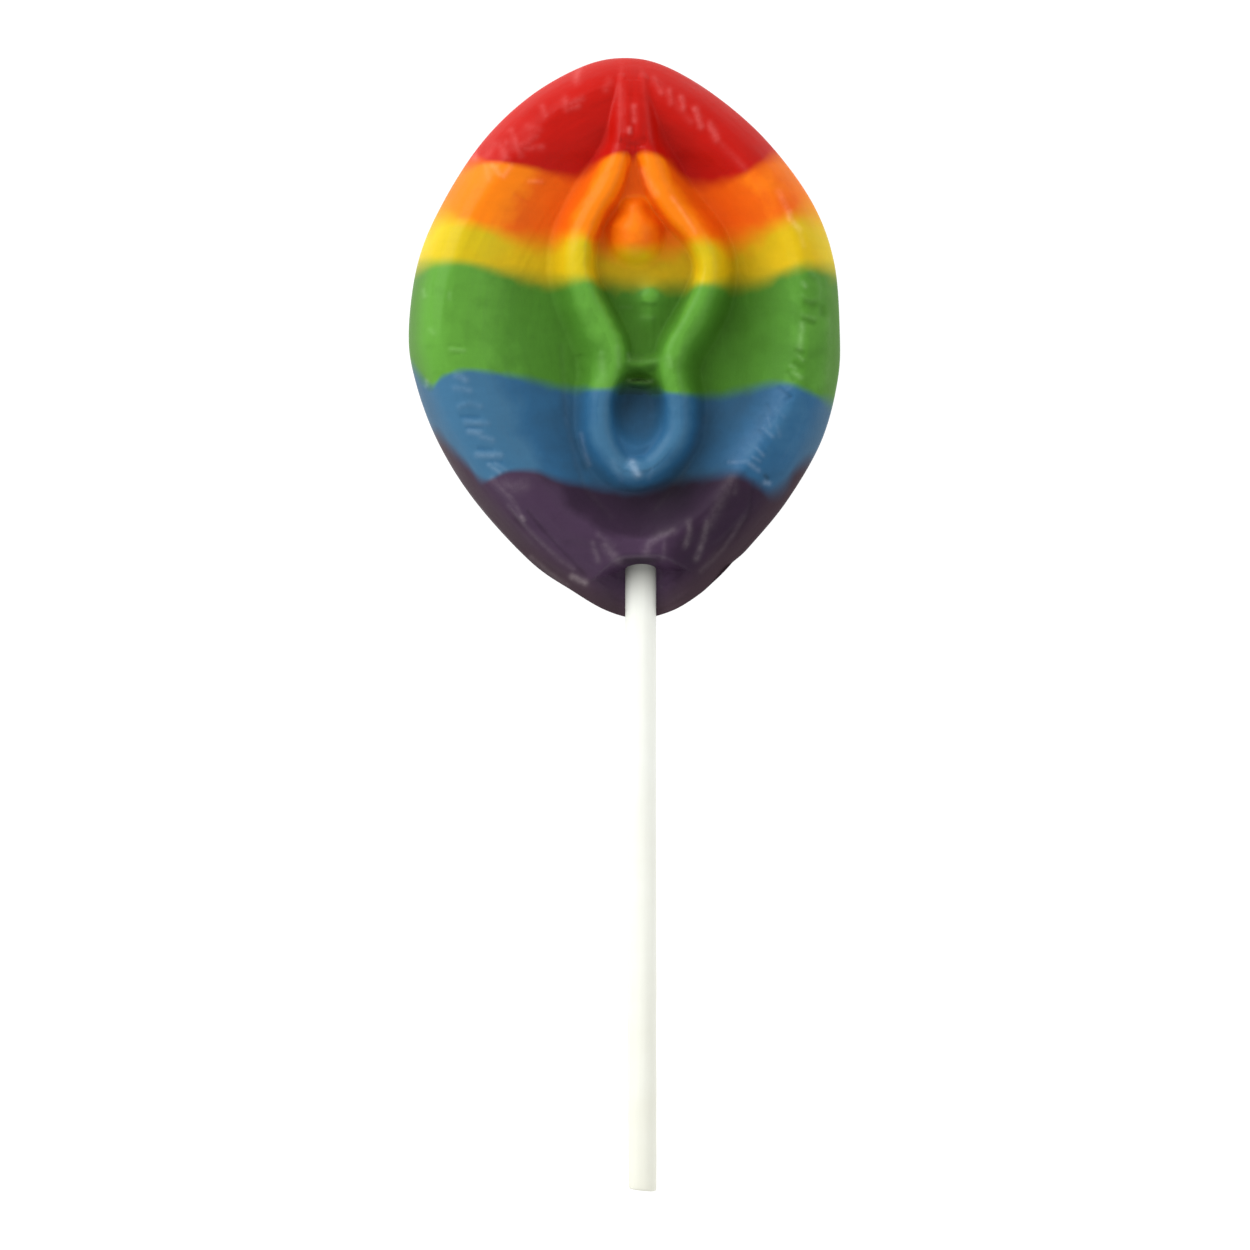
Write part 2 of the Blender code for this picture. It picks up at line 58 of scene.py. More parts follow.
# ---- head: outline and edge ----
HEAD_CENTRE = (0.0, 38.0)
OUTLINE = (
    (0.0, 76.3), (-5.6, 75.2), (-12.7, 71.2), (-19.1, 65.1), (-24.4, 57.0), (-27.8, 49.0), (-29.1, 39.5),
    (-28.2, 32.8), (-25.2, 24.7), (-20.2, 16.7), (-12.8, 8.6), (-7.1, 4.6), (-2.4, 1.9), (1.9, 0.9),
    (6.3, 1.9), (10.1, 4.2), (12.2, 6.2), (13.4, 7.6), (14.8, 8.7), (16.8, 10.6), (21.8, 16.7), (26.4, 24.7),
    (28.6, 32.8), (28.9, 39.5), (28.1, 49.0), (25.1, 57.0), (19.1, 65.1), (12.2, 71.2), (5.4, 75.2))
RIM_HEIGHT = 4.6

# Along the head: y, height of the outer ridge, width of its outer wall, roundness of that wall
# (1 is a straight ramp, 2 a quarter ellipse) and level of the valley inside the ridge.
BODY = (
    (0.0, 5.2, 9.0, 1.3, 4.6),
    (7.5, 8.4, 8.6, 1.4, 6.8),
    (10.5, 9.3, 8.4, 1.45, 7.4),
    (13.0, 10.2, 8.0, 1.5, 7.2),
    (22.0, 12.0, 7.0, 1.7, 7.3),
    (33.0, 13.0, 6.1, 1.9, 7.6),
    (46.0, 13.3, 5.6, 1.9, 7.6),
    (60.0, 12.5, 5.2, 1.9, 8.3),
    (64.0, 12.0, 5.0, 1.9, 9.5),
    (68.0, 11.4, 4.8, 1.9, 10.3),
    (72.0, 10.7, 4.6, 1.9, 10.3),
    (76.3, 8.8, 4.2, 1.9, 8.8))
# On the right the outer wall is wider by this much near the stick: y, extra width; and the valley is
# lower to the right by this share.
WALL_RIGHT = ((0.0, 0.0), (8.0, 0.0), (14.0, 1.0), (19.0, 1.9), (27.0, 0.8), (36.0, 0.0), (80.0, 0.0))
WALL_RIGHT_FADE = 8.0
VALLEY_LEAN = 0.05
RIDGE_EXTRA = 0.9
RIDGE_START = 0.7
RIDGE_SOFTNESS = 1.2

# The line round the folds where the inner slope of the outer ridge ends.
VALLEY = (
    (0.6, 71.6), (-1.8, 70.6), (-3.3, 68.6), (-4.8, 66.0), (-7.2, 60.0), (-9.9, 53.5), (-10.6, 46.5),
    (-9.4, 38.5), (-8.6, 30.5), (-7.4, 23.0), (-4.2, 17.2), (1.5, 14.6), (6.9, 17.6), (10.4, 24.0),
    (12.0, 31.0), (13.6, 38.5), (14.6, 46.5), (13.2, 53.5), (10.0, 60.0), (6.4, 66.0), (4.6, 68.6),
    (3.0, 70.6))
VALLEY_SOFTNESS = 1.6

# ---- folds and small forms ----
# x, y, height of the crest and half width; a fold's half width is the one outside its crest.
FOLD_LEFT = (
    (-0.3, 73.0, 8.6, 1.4), (-0.4, 69.0, 10.9, 1.8), (-0.6, 65.0, 11.9, 2.2), (-1.3, 61.8, 12.4, 2.7),
    (-2.5, 58.6, 12.4, 3.2), (-4.4, 55.4, 12.3, 3.3), (-5.8, 51.6, 12.2, 3.6), (-6.1, 48.2, 12.1, 3.7),
    (-5.6, 45.4, 12.0, 3.7), (-4.7, 43.0, 12.0, 3.7), (-3.1, 39.9, 11.9, 4.0), (-1.8, 36.8, 11.8, 4.3),
    (-2.3, 33.6, 11.7, 3.7), (-3.5, 30.2, 11.5, 2.8), (-3.5, 26.0, 11.2, 2.7), (-2.2, 22.7, 10.8, 2.7),
    (-0.5, 20.9, 10.4, 2.5), (1.5, 20.5, 10.2, 2.4))
FOLD_RIGHT = (
    (2.4, 73.0, 8.6, 1.4), (2.6, 69.0, 10.9, 1.8), (3.0, 65.0, 11.9, 2.2), (3.7, 62.0, 12.4, 2.7),
    (4.9, 58.5, 12.4, 3.0), (6.9, 55.3, 12.3, 3.0), (10.1, 51.6, 12.2, 2.9), (11.3, 48.2, 12.1, 2.9),
    (10.7, 44.3, 12.0, 3.0), (9.0, 40.7, 11.9, 3.1), (7.1, 37.4, 11.8, 3.0), (6.4, 34.6, 11.7, 2.9),
    (6.8, 32.4, 11.6, 2.8), (7.4, 29.7, 11.4, 2.8), (7.2, 25.7, 11.1, 2.8), (5.4, 22.7, 10.7, 2.6),
    (3.5, 21.0, 10.4, 2.5), (1.5, 20.5, 10.2, 2.4))
HOOD = (
    (0.6, 76.2, 4.6, 1.8), (0.6, 74.4, 7.9, 1.9), (0.6, 72.4, 10.2, 1.9), (0.8, 70.0, 11.5, 2.1),
    (0.9, 68.0, 12.0, 2.1), (1.2, 65.2, 12.3, 2.0), (1.2, 64.2, 11.7, 1.6))
BEAD = ((1.35, 55.6, 10.5, 2.8), (1.4, 53.7, 11.3, 3.9), (1.4, 52.0, 11.2, 3.9))
BRIDGE = ((-3.0, 36.2, 11.1, 1.3), (1.9, 34.9, 10.2, 1.3), (7.0, 36.2, 11.1, 1.3))
LEDGE = ((0.6, 32.6, 7.5, 1.0), (2.2, 32.5, 7.9, 1.1), (3.9, 32.4, 7.5, 1.0))
HOOD_DROP, HOOD_SOFTNESS = 1.6, 2.0
FOLD_DROP = 3.6
FOLD_INSIDE_POWER = 3.0
# Along the head: y and half width of a fold inside its crest; then y and the widths over which a fold
# meets the outer ridge and the hollow between the folds.
FOLD_INSIDE = ((0.0, 2.4), (34.0, 2.6), (44.0, 2.5), (48.0, 2.0), (55.0, 2.0), (60.0, 2.2), (80.0, 2.2))
FOLD_SOFTNESS = (
    (0.0, 2.2, 2.0), (33.0, 2.2, 2.0), (38.0, 2.2, 2.4), (56.0, 2.2, 2.0), (64.0, 2.5, 1.4), (67.0, 3.0, 3.0),
    (80.0, 3.0, 3.0))
BRIDGE_DROP, BRIDGE_SOFTNESS = 2.0, 1.0
BEAD_DROP, BEAD_SOFTNESS = 3.2, 0.8
LEDGE_DROP, LEDGE_SOFTNESS = 3.0, 0.4

# The step over the stick: a line across the head, below which the front is a low skirt. The skirt is
# flat beside the stick (the flat's middle and half width) and rises outwards.
STEP_LINE = (
    (-14.0, 3.0), (-9.0, 3.9), (-4.6, 5.8), (-1.0, 7.2), (0.5, 7.55), (4.0, 7.6), (6.0, 7.3), (9.5, 7.0),
    (13.5, 6.0))
SKIRT_LEVEL = 3.2
SKIRT_RISE = 1.1
SKIRT_FLAT = (2.0, 2.6)
SKIRT_EASE = 1.2
STEP_STEEPNESS = 3.2
STEP_SOFTNESS = 1.4

# The hollow between the folds: y and level of its floor.
FLOOR = (
    (19.0, 9.6), (34.2, 9.2), (36.5, 9.2), (41.0, 8.6), (47.0, 8.4), (52.0, 8.2), (56.0, 8.7),
    (59.0, 9.7), (62.0, 10.4), (66.0, 11.0))
HOLLOW_TOP = 64.0

# The oval recess below the bridge: its middle, its half axes, and y and level of its floor.
OVAL_MIDDLE = (1.75, 28.6)
OVAL_HALF = (4.1, 6.1)
OVAL_FLOOR = ((20.0, 9.4), (24.0, 8.2), (28.0, 7.4), (30.5, 6.6), (33.0, 5.9), (36.0, 5.8))
OVAL_WALL, OVAL_POWER, OVAL_SOFTNESS = 6.0, 5.0, 1.0

# Two small bumps on the hollow's floor: x, y, height, size.
BUMPS = ((3.4, 44.2, 1.2, 1.3), (3.2, 41.2, 0.4, 0.9))

# ---- colour layers ----
# Where two layers meet on the relief, seen from the front, from left to right. On the back each
# joint is a shallow curve between the same two ends.
SEAMS = {
    "red_orange": (
        (-21.0, 61.9), (-16.7, 61.9), (-11.3, 60.9), (-7.2, 59.9), (-5.6, 60.4), (-4.1, 61.5), (-2.8, 62.4),
        (-1.2, 63.1), (0.3, 63.0), (1.0, 62.4), (1.7, 63.0), (2.7, 63.2), (4.4, 62.9), (5.8, 62.0),
        (7.6, 60.2), (10.0, 58.9), (15.3, 60.0), (18.3, 61.9), (20.7, 63.2)),
    "orange_yellow": (
        (-25.4, 54.5), (-21.7, 54.1), (-14.0, 51.5), (-10.0, 51.0), (-7.9, 51.9), (-5.9, 52.2),
        (-2.8, 50.2), (0.8, 50.3), (4.2, 50.3), (7.5, 50.8), (10.4, 51.5), (14.9, 51.0), (18.3, 52.6),
        (22.3, 54.5), (26.8, 55.1)),
    "yellow_green": (
        (-27.8, 48.5), (-21.4, 48.5), (-14.0, 46.8), (-10.6, 46.0), (-5.9, 46.4), (-2.6, 46.1),
        (0.5, 45.8), (3.5, 45.8), (10.9, 45.7), (17.6, 46.1), (21.7, 47.5), (24.1, 48.1), (28.2, 47.5)),
    "green_blue": (
        (-28.5, 34.7), (-26.1, 32.0), (-24.1, 33.4), (-20.3, 34.1), (-12.6, 32.8), (-8.2, 31.7),
        (-1.9, 31.6), (0.8, 31.9), (5.2, 31.2), (11.6, 30.7), (15.6, 31.3), (18.7, 32.1), (21.7, 32.3),
        (24.3, 31.3), (28.1, 29.6)),
    "blue_purple": (
        (-25.2, 25.8), (-21.4, 21.8), (-19.0, 19.4), (-15.6, 20.6), (-12.0, 20.6), (-8.6, 19.4),
        (-3.2, 18.4), (1.2, 17.9), (4.2, 18.6), (7.3, 19.4), (11.6, 19.9), (14.9, 20.3), (17.4, 19.1),
        (19.4, 17.8), (21.4, 18.8), (22.7, 20.7), (24.7, 22.3)),
}
BACK_SAG = 2.0

# ---- layers, from the round end to the stick ----
LAYERS = ("red", "orange", "yellow", "green", "blue", "purple")
JOINT_STEPS = 12
JOINT_REACH = 6.0
# How far each colour runs into the next, as a multiple of the joint softness, with the shares by which
# that grows at the rim and in the hollows, and the share and size of its unevenness.
JOINT_BLUR = {
    "red_orange": 1.2, "orange_yellow": 2.6, "yellow_green": 1.8, "green_blue": 1.1, "blue_purple": 1.1}
RIM_BLUR = 1.6
HOLLOW_BLUR = 1.2
BLUR_UNEVEN = 0.3
BLUR_SIZE = 1.3
# At the head's two ends a layer has no joint, and this share of the outline there is the patch's sides.
TIP_SHARE = 0.5
# Lengths that the mesh's columns and rows are counted from, and the shares of them that crowd at the rim.
ACROSS_LENGTH = 64.0
TOP_LENGTH = 18.0
BOTTOM_LENGTH = 23.0
SIDE_BAND = 0.1
TIP_BAND = 0.25
# Width over which the front starts from an even rim, and over which its unevenness fades out there.
RIM_SETTLE = 0.15
RIM_EVEN = 0.8
# Rows down the edge below the front: height, and how far in from the outline.
EDGE_ROWS = (
    (4.3, 0.0), (3.7, 0.0), (2.7, 0.0), (1.7, 0.0), (0.9, 0.02), (0.5, 0.1), (0.22, 0.26), (0.06, 0.48),
    (0.0, 0.7))
BACK_ROW_INSET = 1.2
BACK_ROW_STEP = 0.6
INSET_FADE = 1.5
CURVE_STEPS = 6
OUTLINE_STEPS = 16
TOP_LIMIT = 13.12

# ---- where the painted shade and the rim's painted sheen lie ----
# The reach of the rim's painted sheen, and where the painted hollow shade begins, both as shares of the outer
# wall's width.
RIM_BAND = 0.5
WALL_TOP = (0.7, 1.1)
# The painted shade starts this far below the ridge, over at least this depth, and goes up to this limit.
HOLLOW_START = 0.8
HOLLOW_LEAST = 0.8
HOLLOW_MOST = 1.2
# Past a line on the right the painted shade is stronger by this much, so the right side is painted darker.
# Near the stick, which starts at the first of two y and is full at the second, that doubles and the line is
# nearer the middle by RIGHT_SHIFT.
RIGHT_PAINTED_SHADE = 0.32
RIGHT_LINE = 11.0
RIGHT_SHIFT = 8.0
RIGHT_WIDTH = 7.0
STICK_END = (24.0, 18.0)
# Between the folds the painted shade leaves the crest and gathers at its foot, as far down as HOLLOW_END.
# Both bands are shares of FOLD_REACH.
FOLD_REACH = 2.4
CREST_BAND = (0.2, 1.0)
FOOT_BAND = (0.6, 1.15)
FOOT_PAINTED_SHADE = 0.45
HOLLOW_END = 31.0
# The bead keeps only a share of the painted shade, which paints it lighter, and has a little of its own, over
# bands of its half width.
BEAD_KEEPS = 0.15
BEAD_OWN = 0.06
BEAD_FOOT = (0.7, 1.2)
BEAD_TOP = (0.5, 1.0)
# Grooves get this much painted shade for each millimetre of their depth, and the back has this much of it all
# over.
GROOVE_SHADE = 2.0
BACK_PAINTED_SHADE = 0.5

# ---- unevenness of the cast surface ----
LATTICE = 64
WAVE_SIZE = 2.6
# Flow lines along the edge: their size across and along, their height, and the extra height near the
# stick within a distance of the edge.
STREAK_SIZE = (0.55, 5.0)
STREAK_HEIGHT = 0.03
STREAK_EXTRA = 0.05
STREAK_REACH = (9.0, 5.0)
# A mark fades out within this many half widths.
MARK_REACH = 3
WAVE_SEED, STREAK_SEED, BLUR_SEED, STICK_SEED = 1, 2, 3, 7

# ---- stick ----
STICK_LENGTH = 101.6
STICK_RADIUS_HEAD = 2.15
STICK_RADIUS_FREE = 1.88
STICK_HEIGHT = 3.0
STICK_FREE_END = (2.37, -76.26)
STICK_HEAD_X = 2.05
STICK_SIDES = 96
STICK_ROWS = 160
# Height of the paper's unevenness, where it starts and how far it swings round the stick, and its
# waves along the stick.
STICK_UNEVEN = 0.02
STICK_RIPPLE = (1.5, 1.4)
STICK_WAVES = 22
STICK_SKEW = 0.35
STICK_SKEW_TURN = 1.2
# The skewed cut moves the points in this share of the length.
STICK_CUT = 0.01
STICK_END_DEPTH = 0.3
STICK_MERGE = 0.001
# Rows round each end: how far out of the end, and how much narrower. The rolled paper shows as ridges.
STICK_END_ROWS = (
    (0.15, 0.04), (0.26, 0.14), (0.3, 0.3), (0.24, 0.42), (0.3, 0.56), (0.24, 0.7), (0.28, 0.9), (0.1, 1.05))

# ---- finish of the sugar and the paper ----
# Noises: scale in features a metre, detail, roughness and stretch. Most of a noise lies in NOISE_SPAN.
NOISE_SPAN = (0.3, 0.7)
TINT_CLOUD = (260.0, 3.0)
FINE_CLOUD = (900.0, 3.0, 0.6)
SLOW_CLOUD = (180.0, 2.0)
STREAK_CLOUD = (260.0, 2.0, 0.5, (1.0, 5.0, 1.0))
SUGAR_GRAIN = (2200.0, 2.0, 0.5)
PAPER_FIBRES = (600.0, 4.0, 0.6, (1.0, 0.06, 1.0))
PAPER_BLOTCH = (120.0, 3.0)
# How much the tint shifts, and where it goes from the painted crest light to the body and from the body to
# the painted hollow shade.
TINT_SHIFT = 0.14
BODY_BAND = (0.05, 0.4)
HOLLOW_BAND = (0.4, 1.4)
CLOUDINESS = 0.03
# Whitened marks, partly whitened sugar and partly painted glints: noise span and patchiness, the sugar's own
# value and saturation there, and the share of the marks' own colour.
FROST_AND_GLINT_SPAN = (0.35, 0.65)
FROST_AND_GLINT_PATCHES = (0.6, 1.2)
FROST_AND_GLINT_TONE = (1.7, 0.85)
FROST_AND_GLINT_WHITE = 0.15
# Roughness of the sugar, and what is added to it for the marks, in the hollows and at the rim.
SUGAR_ROUGH = (0.28, 0.38)
FROST_AND_GLINT_ROUGH = 0.2
HOLLOW_ROUGH = (0.1, 0.8, 0.0, 0.3)
RIM_ROUGH = (0.0, 1.0, 0.0, 0.2)
SUGAR_GLOSS = 0.12
GRAIN_SHARE = 0.25
BUMP_DISTANCE = 0.00003
# The paper: y span over which it turns darker and yellower towards the free end, and its spots; y span of the
# painted shadow where it goes under the candy and its strength; how its value goes with the fibres, and the
# painted light across it from side to side; its roughness, bump and gloss.
PAPER_FREE_END_TONE = (-0.076, -0.02)
PAPER_SPOTS = 0.2
PAPER_PAINTED_SHADOW = (0.0003, 0.0075, 0.0, 0.8)
FIBRE_VALUE = (0.97, 1.02)
PAPER_SIDE_PAINTED_LIGHT = (-0.0005, 0.0025, 0.85, 1.03)
PAPER_ROUGH = (0.5, 0.62)
PAPER_BUMP = 0.6
PAPER_GLOSS = 0.3

# ---- studio ----
FLOOR_DROP = 0.00005
FLOOR_SHADE = 0.15
FLOOR_GLOW = 0.97
FLOOR_CLOUD = 4.0
FLOOR_VALUE = (0.98, 1.0)
FLOOR_ROUGH = 0.9
FLOOR_GLOSS = 0.1
WHITE = (1, 1, 1, 1)
FLOOR_SIZE = 3.0
WORLD_STRENGTH = 0.65
HEAD_AIM = (0.0, 0.03, 0.0)
# Each light: name, place in metres, width and power.
LIGHTS = (
    ("key", (-0.8, 0.6, 0.6), 1.3, 11.5),
    ("right", (0.9, 0.1, 0.55), 0.9, 1.2),
    ("top", (0.2, 1.0, 0.5), 0.8, 1.0),
    ("bottom", (-0.1, -0.9, 0.5), 0.8, 0.5))
CAMERA_HEIGHT = 1.4
VIEW_LEVEL = 0.005
VIEW_WIDTH = 0.16813
VIEW_CLIP = (0.01, 20.0)
SENSOR = 36.0

# ---- small marks cast in the surface: x and y along the path, half width, height, whiteness (whitened sugar and painted glints) ----
MARKS = (
    # red, left
    ((-6.3, 74.6, -6.5, 73), 0.588, 0.07, 0.19),
    ((-2.2, 72.9, -2.6, 71.8), 0.516, 0.05, 0.088),
    ((-8, 70.5, -7.8, 69.3), 0.516, 0.06, 0.14),
    ((-7.3, 69.8, -5.8, 70.5), 0.456, 0.05, 0.14),
    ((-7.8, 69.1, -6.3, 69.5), 0.456, 0.05, 0.12),
    ((-11.1, 69.5, -10.5, 68.4), 0.456, 0.06, 0.11),
    ((-13, 66.8, -11.6, 66.3), 0.588, 0.04, 0.072),
    ((-15.2, 66.2, -14.5, 64.3, -13.9, 62.9), 0.516, 0.07, 0.12),
    ((-13.9, 64.2, -13, 64.6, -12.1, 65.5), 0.588, 0.06, 0.14),
    ((-13.5, 63.9, -11.2, 64), 0.516, 0.05, 0.11),
    ((-16.7, 64.2, -15.9, 62.5), 0.588, 0.06, 0.11),
    ((-17.5, 64.3, -18.4, 62.8), 0.588, 0.06, 0.11),
    ((-15.9, 64.8, -16.3, 63.9), 0.456, 0.05, 0.088),
    ((-20.2, 63.2, -20.1, 62.7), 0.516, 0.05, 0.28),
    # orange, left
    ((-17.8, 61.6, -16.7, 60.3), 0.41, 0.05, 0.14),
    ((-15.3, 61.5, -16.3, 60.1), 0.41, 0.05, 0.14),
    ((-18.7, 61.7, -18.2, 59.7), 0.46, 0.04, 0.08),
    ((-12.8, 59.4, -11.2, 59.4), 0.3, 0.05, 0.11),
    ((-14.5, 57.6, -12.8, 56.5), 0.32, -0.04, 0),
    # hood
    ((-0.5, 74.6, -0.7, 70.5, -0.9, 63.8), 0.4, 0.05, 0.05),
    ((2.2, 74.6, 2.7, 70.5, 3.5, 65.4), 0.4, 0.05, 0.04),
    ((1.2, 69.4, 1.3, 67.5), 0.41, 0.08, 0.19),
    ((0.6, 66.4, 0.6, 66), 0.32, 0.08, 0.33),
    # red, right
    ((3.9, 73.2, 4.9, 71.3), 0.43, 0.07, 0.13),
    ((5.9, 71.6, 6.2, 69.9), 0.43, 0.07, 0.15),
    ((7.5, 70.7, 7.8, 69.1), 0.43, 0.07, 0.2),
    ((4.3, 72.6, 6.9, 69.7, 8.9, 67.4), 0.56, 0.05, 0.07),
    ((9.4, 69.1, 10.2, 66.8), 0.49, 0.08, 0.23),
    ((11.4, 67, 12.3, 65), 0.52, 0.08, 0.2),
    ((12.3, 65, 14.3, 62.9, 16, 61.1), 0.49, 0.05, 0.07),
    ((12.9, 60.9, 13.6, 60.3, 14.4, 60.8), 0.36, -0.07, 0),
    # right crest, orange and yellow
    ((20.6, 58, 21.5, 56, 22.4, 53.8), 0.43, 0.06, 0.11),
    ((21.9, 55.3, 22.1, 54.3), 0.41, 0.06, 0.25),
    ((22.5, 53.8, 23.4, 52.9), 0.43, 0.06, 0.25),
    ((23.4, 52.5, 23.9, 50.8), 0.36, 0.04, 0.08),
    # folds
    ((2.4, 60.9, 3.1, 59.3, 4.1, 57.7), 0.47, 0.05, 0.14),
    ((6.3, 57.2, 7.9, 55, 9.4, 52.5), 0.3, 0.08, 0.14),
    ((-3.2, 36, -2.6, 32), 0.5, 0.05, 0.12),
    ((-1.1, 37.1, -0.8, 34.7), 0.43, 0.06, 0.11),
    ((0.5, 36.3, 0.6, 35.5), 0.3, 0.05, 0.22),
    ((6, 35.8, 6.1, 34.7), 0.36, 0.06, 0.19),
    ((0.3, 63.4, 0.3, 58.9), 0.22, -0.08, 0),
    ((-8.3, 52.6, -8.4, 46.2), 0.3, -0.04, 0),
    # green, left
    ((-27, 44.8, -26.8, 44.1), 0.36, 0.08, 0.17),
    ((-23.5, 44.4, -23.5, 43.7), 0.32, 0.05, 0.14),
    ((-26.1, 39.5, -25.6, 39), 0.36, 0.05, 0.11),
    ((-23.4, 37.4, -22, 37.3), 0.27, -0.07, 0),
    ((-23.3, 36.9, -21.6, 36.7), 0.32, 0.08, 0.19),
    ((-22.9, 36.2, -22.1, 36.2), 0.26, -0.07, 0),
    ((-26.6, 32.7, -26.6, 32.1), 0.32, 0.1, 0.33),
    ((-27.2, 33.1, -26.1, 31.6), 0.54, -0.1, 0),
    # bumps below the bead
    ((2.4, 42.9, 4, 42.8), 0.36, -0.12, 0),
    ((2.3, 41.2, 3.8, 41.2), 0.36, 0.08, 0.08),
    ((-0.5, 42.6, 0.8, 42.6), 0.22, 0.05, 0.06),
    # bridge and ledge
    ((0.9, 35.6, 3.8, 35.4), 0.47, 0.06, 0.11),
    ((0.4, 32.8, 3.6, 32.7), 0.3, 0.08, 0.28),
    ((0.3, 33.4, 3.8, 33.4), 0.32, -0.12, 0),
    # green, right crest
    ((24.7, 47.2, 25.6, 46.4, 26, 45.2, 25.9, 43.6, 24.7, 43.3, 23.9, 44), 0.34, 0.14, 0.09),
    ((23.8, 45.7, 24.1, 45.3), 0.33, 0.078, 0.33),
    ((24.3, 43, 25.2, 42.8), 0.52, -0.18, 0),
    ((26.4, 42.5, 26.5, 41.7), 0.4, -0.16, 0),
    ((23.8, 41.4, 25.3, 41), 0.35, 0.16, 0.12),
    ((23.9, 40.8, 25.2, 40.4), 0.33, -0.13, 0),
    ((23.7, 40.2, 23.6, 38.6, 23.4, 37.1), 0.45, 0.12, 0.26),
    ((23, 36.7, 23.8, 36.3), 0.29, -0.13, 0),
    ((23.3, 35.9, 23.8, 35.4), 0.29, 0.13, 0.17),
    ((22.7, 35, 23.7, 34.4), 0.25, -0.13, 0),
    ((22.2, 34.6, 22.9, 34.2), 0.25, 0.12, 0.17),
    ((22.6, 33.8, 23.5, 33.1), 0.35, 0.1, 0.26),
    ((21.8, 33.9, 22.5, 32.8), 0.25, -0.091, 0),
    ((27.4, 40.9, 27.4, 36.9, 27, 32.8), 0.45, 0.039, 0.09),
    # blue, left
    ((-22.5, 33.4, -21.3, 32.8), 0.47, 0.07, 0.21),
    ((-22.7, 31.7, -20.8, 31.4), 0.41, 0.05, 0.17),
    ((-22.2, 29.2, -20.9, 29.7, -19.4, 29.3), 0.41, 0.1, 0.12),
    ((-21.9, 27.9, -19.4, 27.8), 0.36, -0.1, 0),
    ((-21.3, 27.1, -18.4, 27), 0.41, 0.09, 0.17),
    ((-21.1, 26.4, -19, 26.4), 0.27, -0.09, 0),
    ((-20.8, 25.9, -19.4, 25.7), 0.43, 0.09, 0.29),
    ((-19.2, 25.2, -17.8, 24.7), 0.41, 0.06, 0.21),
    ((-19.6, 23.6, -17.8, 23.5), 0.3, -0.1, 0),
    ((-19.8, 22.8, -16.7, 22.7), 0.42, 0.1, 0.29),
    ((-18.6, 21.9, -16.5, 21.8), 0.3, -0.09, 0),
    ((-18.2, 21.5, -16.7, 20.4), 0.3, 0.07, 0.29),
    ((-17.4, 21.7, -15.9, 20.7), 0.27, 0.06, 0.21),
    # oval
    ((-5.9, 25.6, -5.5, 23.5, -4.8, 21.5), 0.32, 0.1, 0.2),
    ((-6.3, 24.6, -5.9, 22.7, -5.2, 21), 0.4, -0.07, 0),
    ((-1.5, 21.9, -1.1, 20.7, -0.4, 19.4), 0.51, 0.06, 0.12),
    ((0.9, 21.8, 1.3, 21, 1.7, 20.2), 0.54, 0.07, 0.66),
    ((0.1, 19.4, 1.1, 18.8, 2.2, 18.6), 0.43, 0.04, 0.044),
    ((3.2, 19.6, 3.6, 20.7), 0.36, 0.05, 0.11),
    # blue, right crest
    ((20.7, 31.7, 21.4, 31.1, 22.2, 30.5), 0.27, -0.12, 0),
    ((22.2, 30.5, 21.5, 30.1), 0.27, -0.1, 0),
    ((21.5, 31.3, 22.3, 31.7), 0.3, 0.09, 0.12),
    ((20.7, 30.8, 19.8, 29.2, 17.9, 25.8, 15, 22.3), 1.2, 0.05, 0.1),
    ((19.1, 29.5, 19.9, 27.7), 0.26, -0.08, 0),
    ((20.2, 28.9, 21.3, 27.8), 0.27, 0.07, 0.12),
    ((19.1, 27.7, 19.5, 26.5), 0.26, 0.07, 0.21),
    ((17.9, 26, 19.3, 24.6), 0.26, -0.1, 0),
    ((18.4, 26.4, 19.8, 25.2), 0.26, 0.08, 0.21),
    ((17.5, 23.7, 18.5, 22.7), 0.23, 0.08, 0.26),
    ((18, 24.2, 18.8, 23.3), 0.22, -0.08, 0),
    ((17.1, 22.5, 18.1, 21.9), 0.23, 0.08, 0.21),
    ((20.3, 26.6, 20.7, 25.3), 0.3, 0.05, 0.12),
    ((14, 21.8, 16.3, 21.9, 17.9, 20.7), 0.36, 0.05, 0.26),
    ((18.8, 20, 19.1, 19.7), 0.3, -0.22, 0),
    ((18.8, 19.1, 19.3, 19), 0.36, 0.09, 0.42),
    # purple, left
    ((-17.8, 19.6, -15.3, 17.1, -13.9, 14.4), 0.405, 0.06, 0.26),
    ((-18.6, 19.1, -16.1, 16.7, -14, 13.5, -10.6, 10), 0.27, -0.07, 0),
    ((-16.1, 18.8, -14.8, 18.4, -13.7, 18.8), 0.986, 0.04, 0.22),
    ((-13.9, 14.5, -13.6, 14.1), 0.32, 0.08, 0.7),
    ((-13, 15.3, -11.2, 13, -9.3, 10.9, -5.2, 6.6), 0.32, -0.09, 0),
    ((-15.6, 16, -12.6, 12.4, -9.1, 9.1, -6.9, 7.5), 0.351, 0.06, 0.15),
    ((-12.6, 9.1, -10.2, 7.1, -7.8, 5.4), 0.351, 0.05, 0.21),
    ((-7, 6.5, -5.4, 5.7), 0.47, 0.09, 0.7),
    ((-4.3, 11, -4, 9.8, -3.6, 8.6), 0.405, 0.08, 0.26),
    ((-2.6, 10.6, -1.7, 9.5, -0.9, 8.6), 0.634, 0.06, 0.32),
    ((-3.5, 12.1, -1.6, 10.5), 0.486, 0.05, 0.15),
    ((-3.1, 12.6, -0.5, 11.3), 0.3, -0.05, 0),
    # purple, right
    ((2.8, 9.8, 3.5, 11, 4.8, 12, 6.3, 12.6), 0.553, 0.08, 0.32),
    ((5.3, 11.4, 5.2, 8.9), 0.311, 0.07, 0.15),
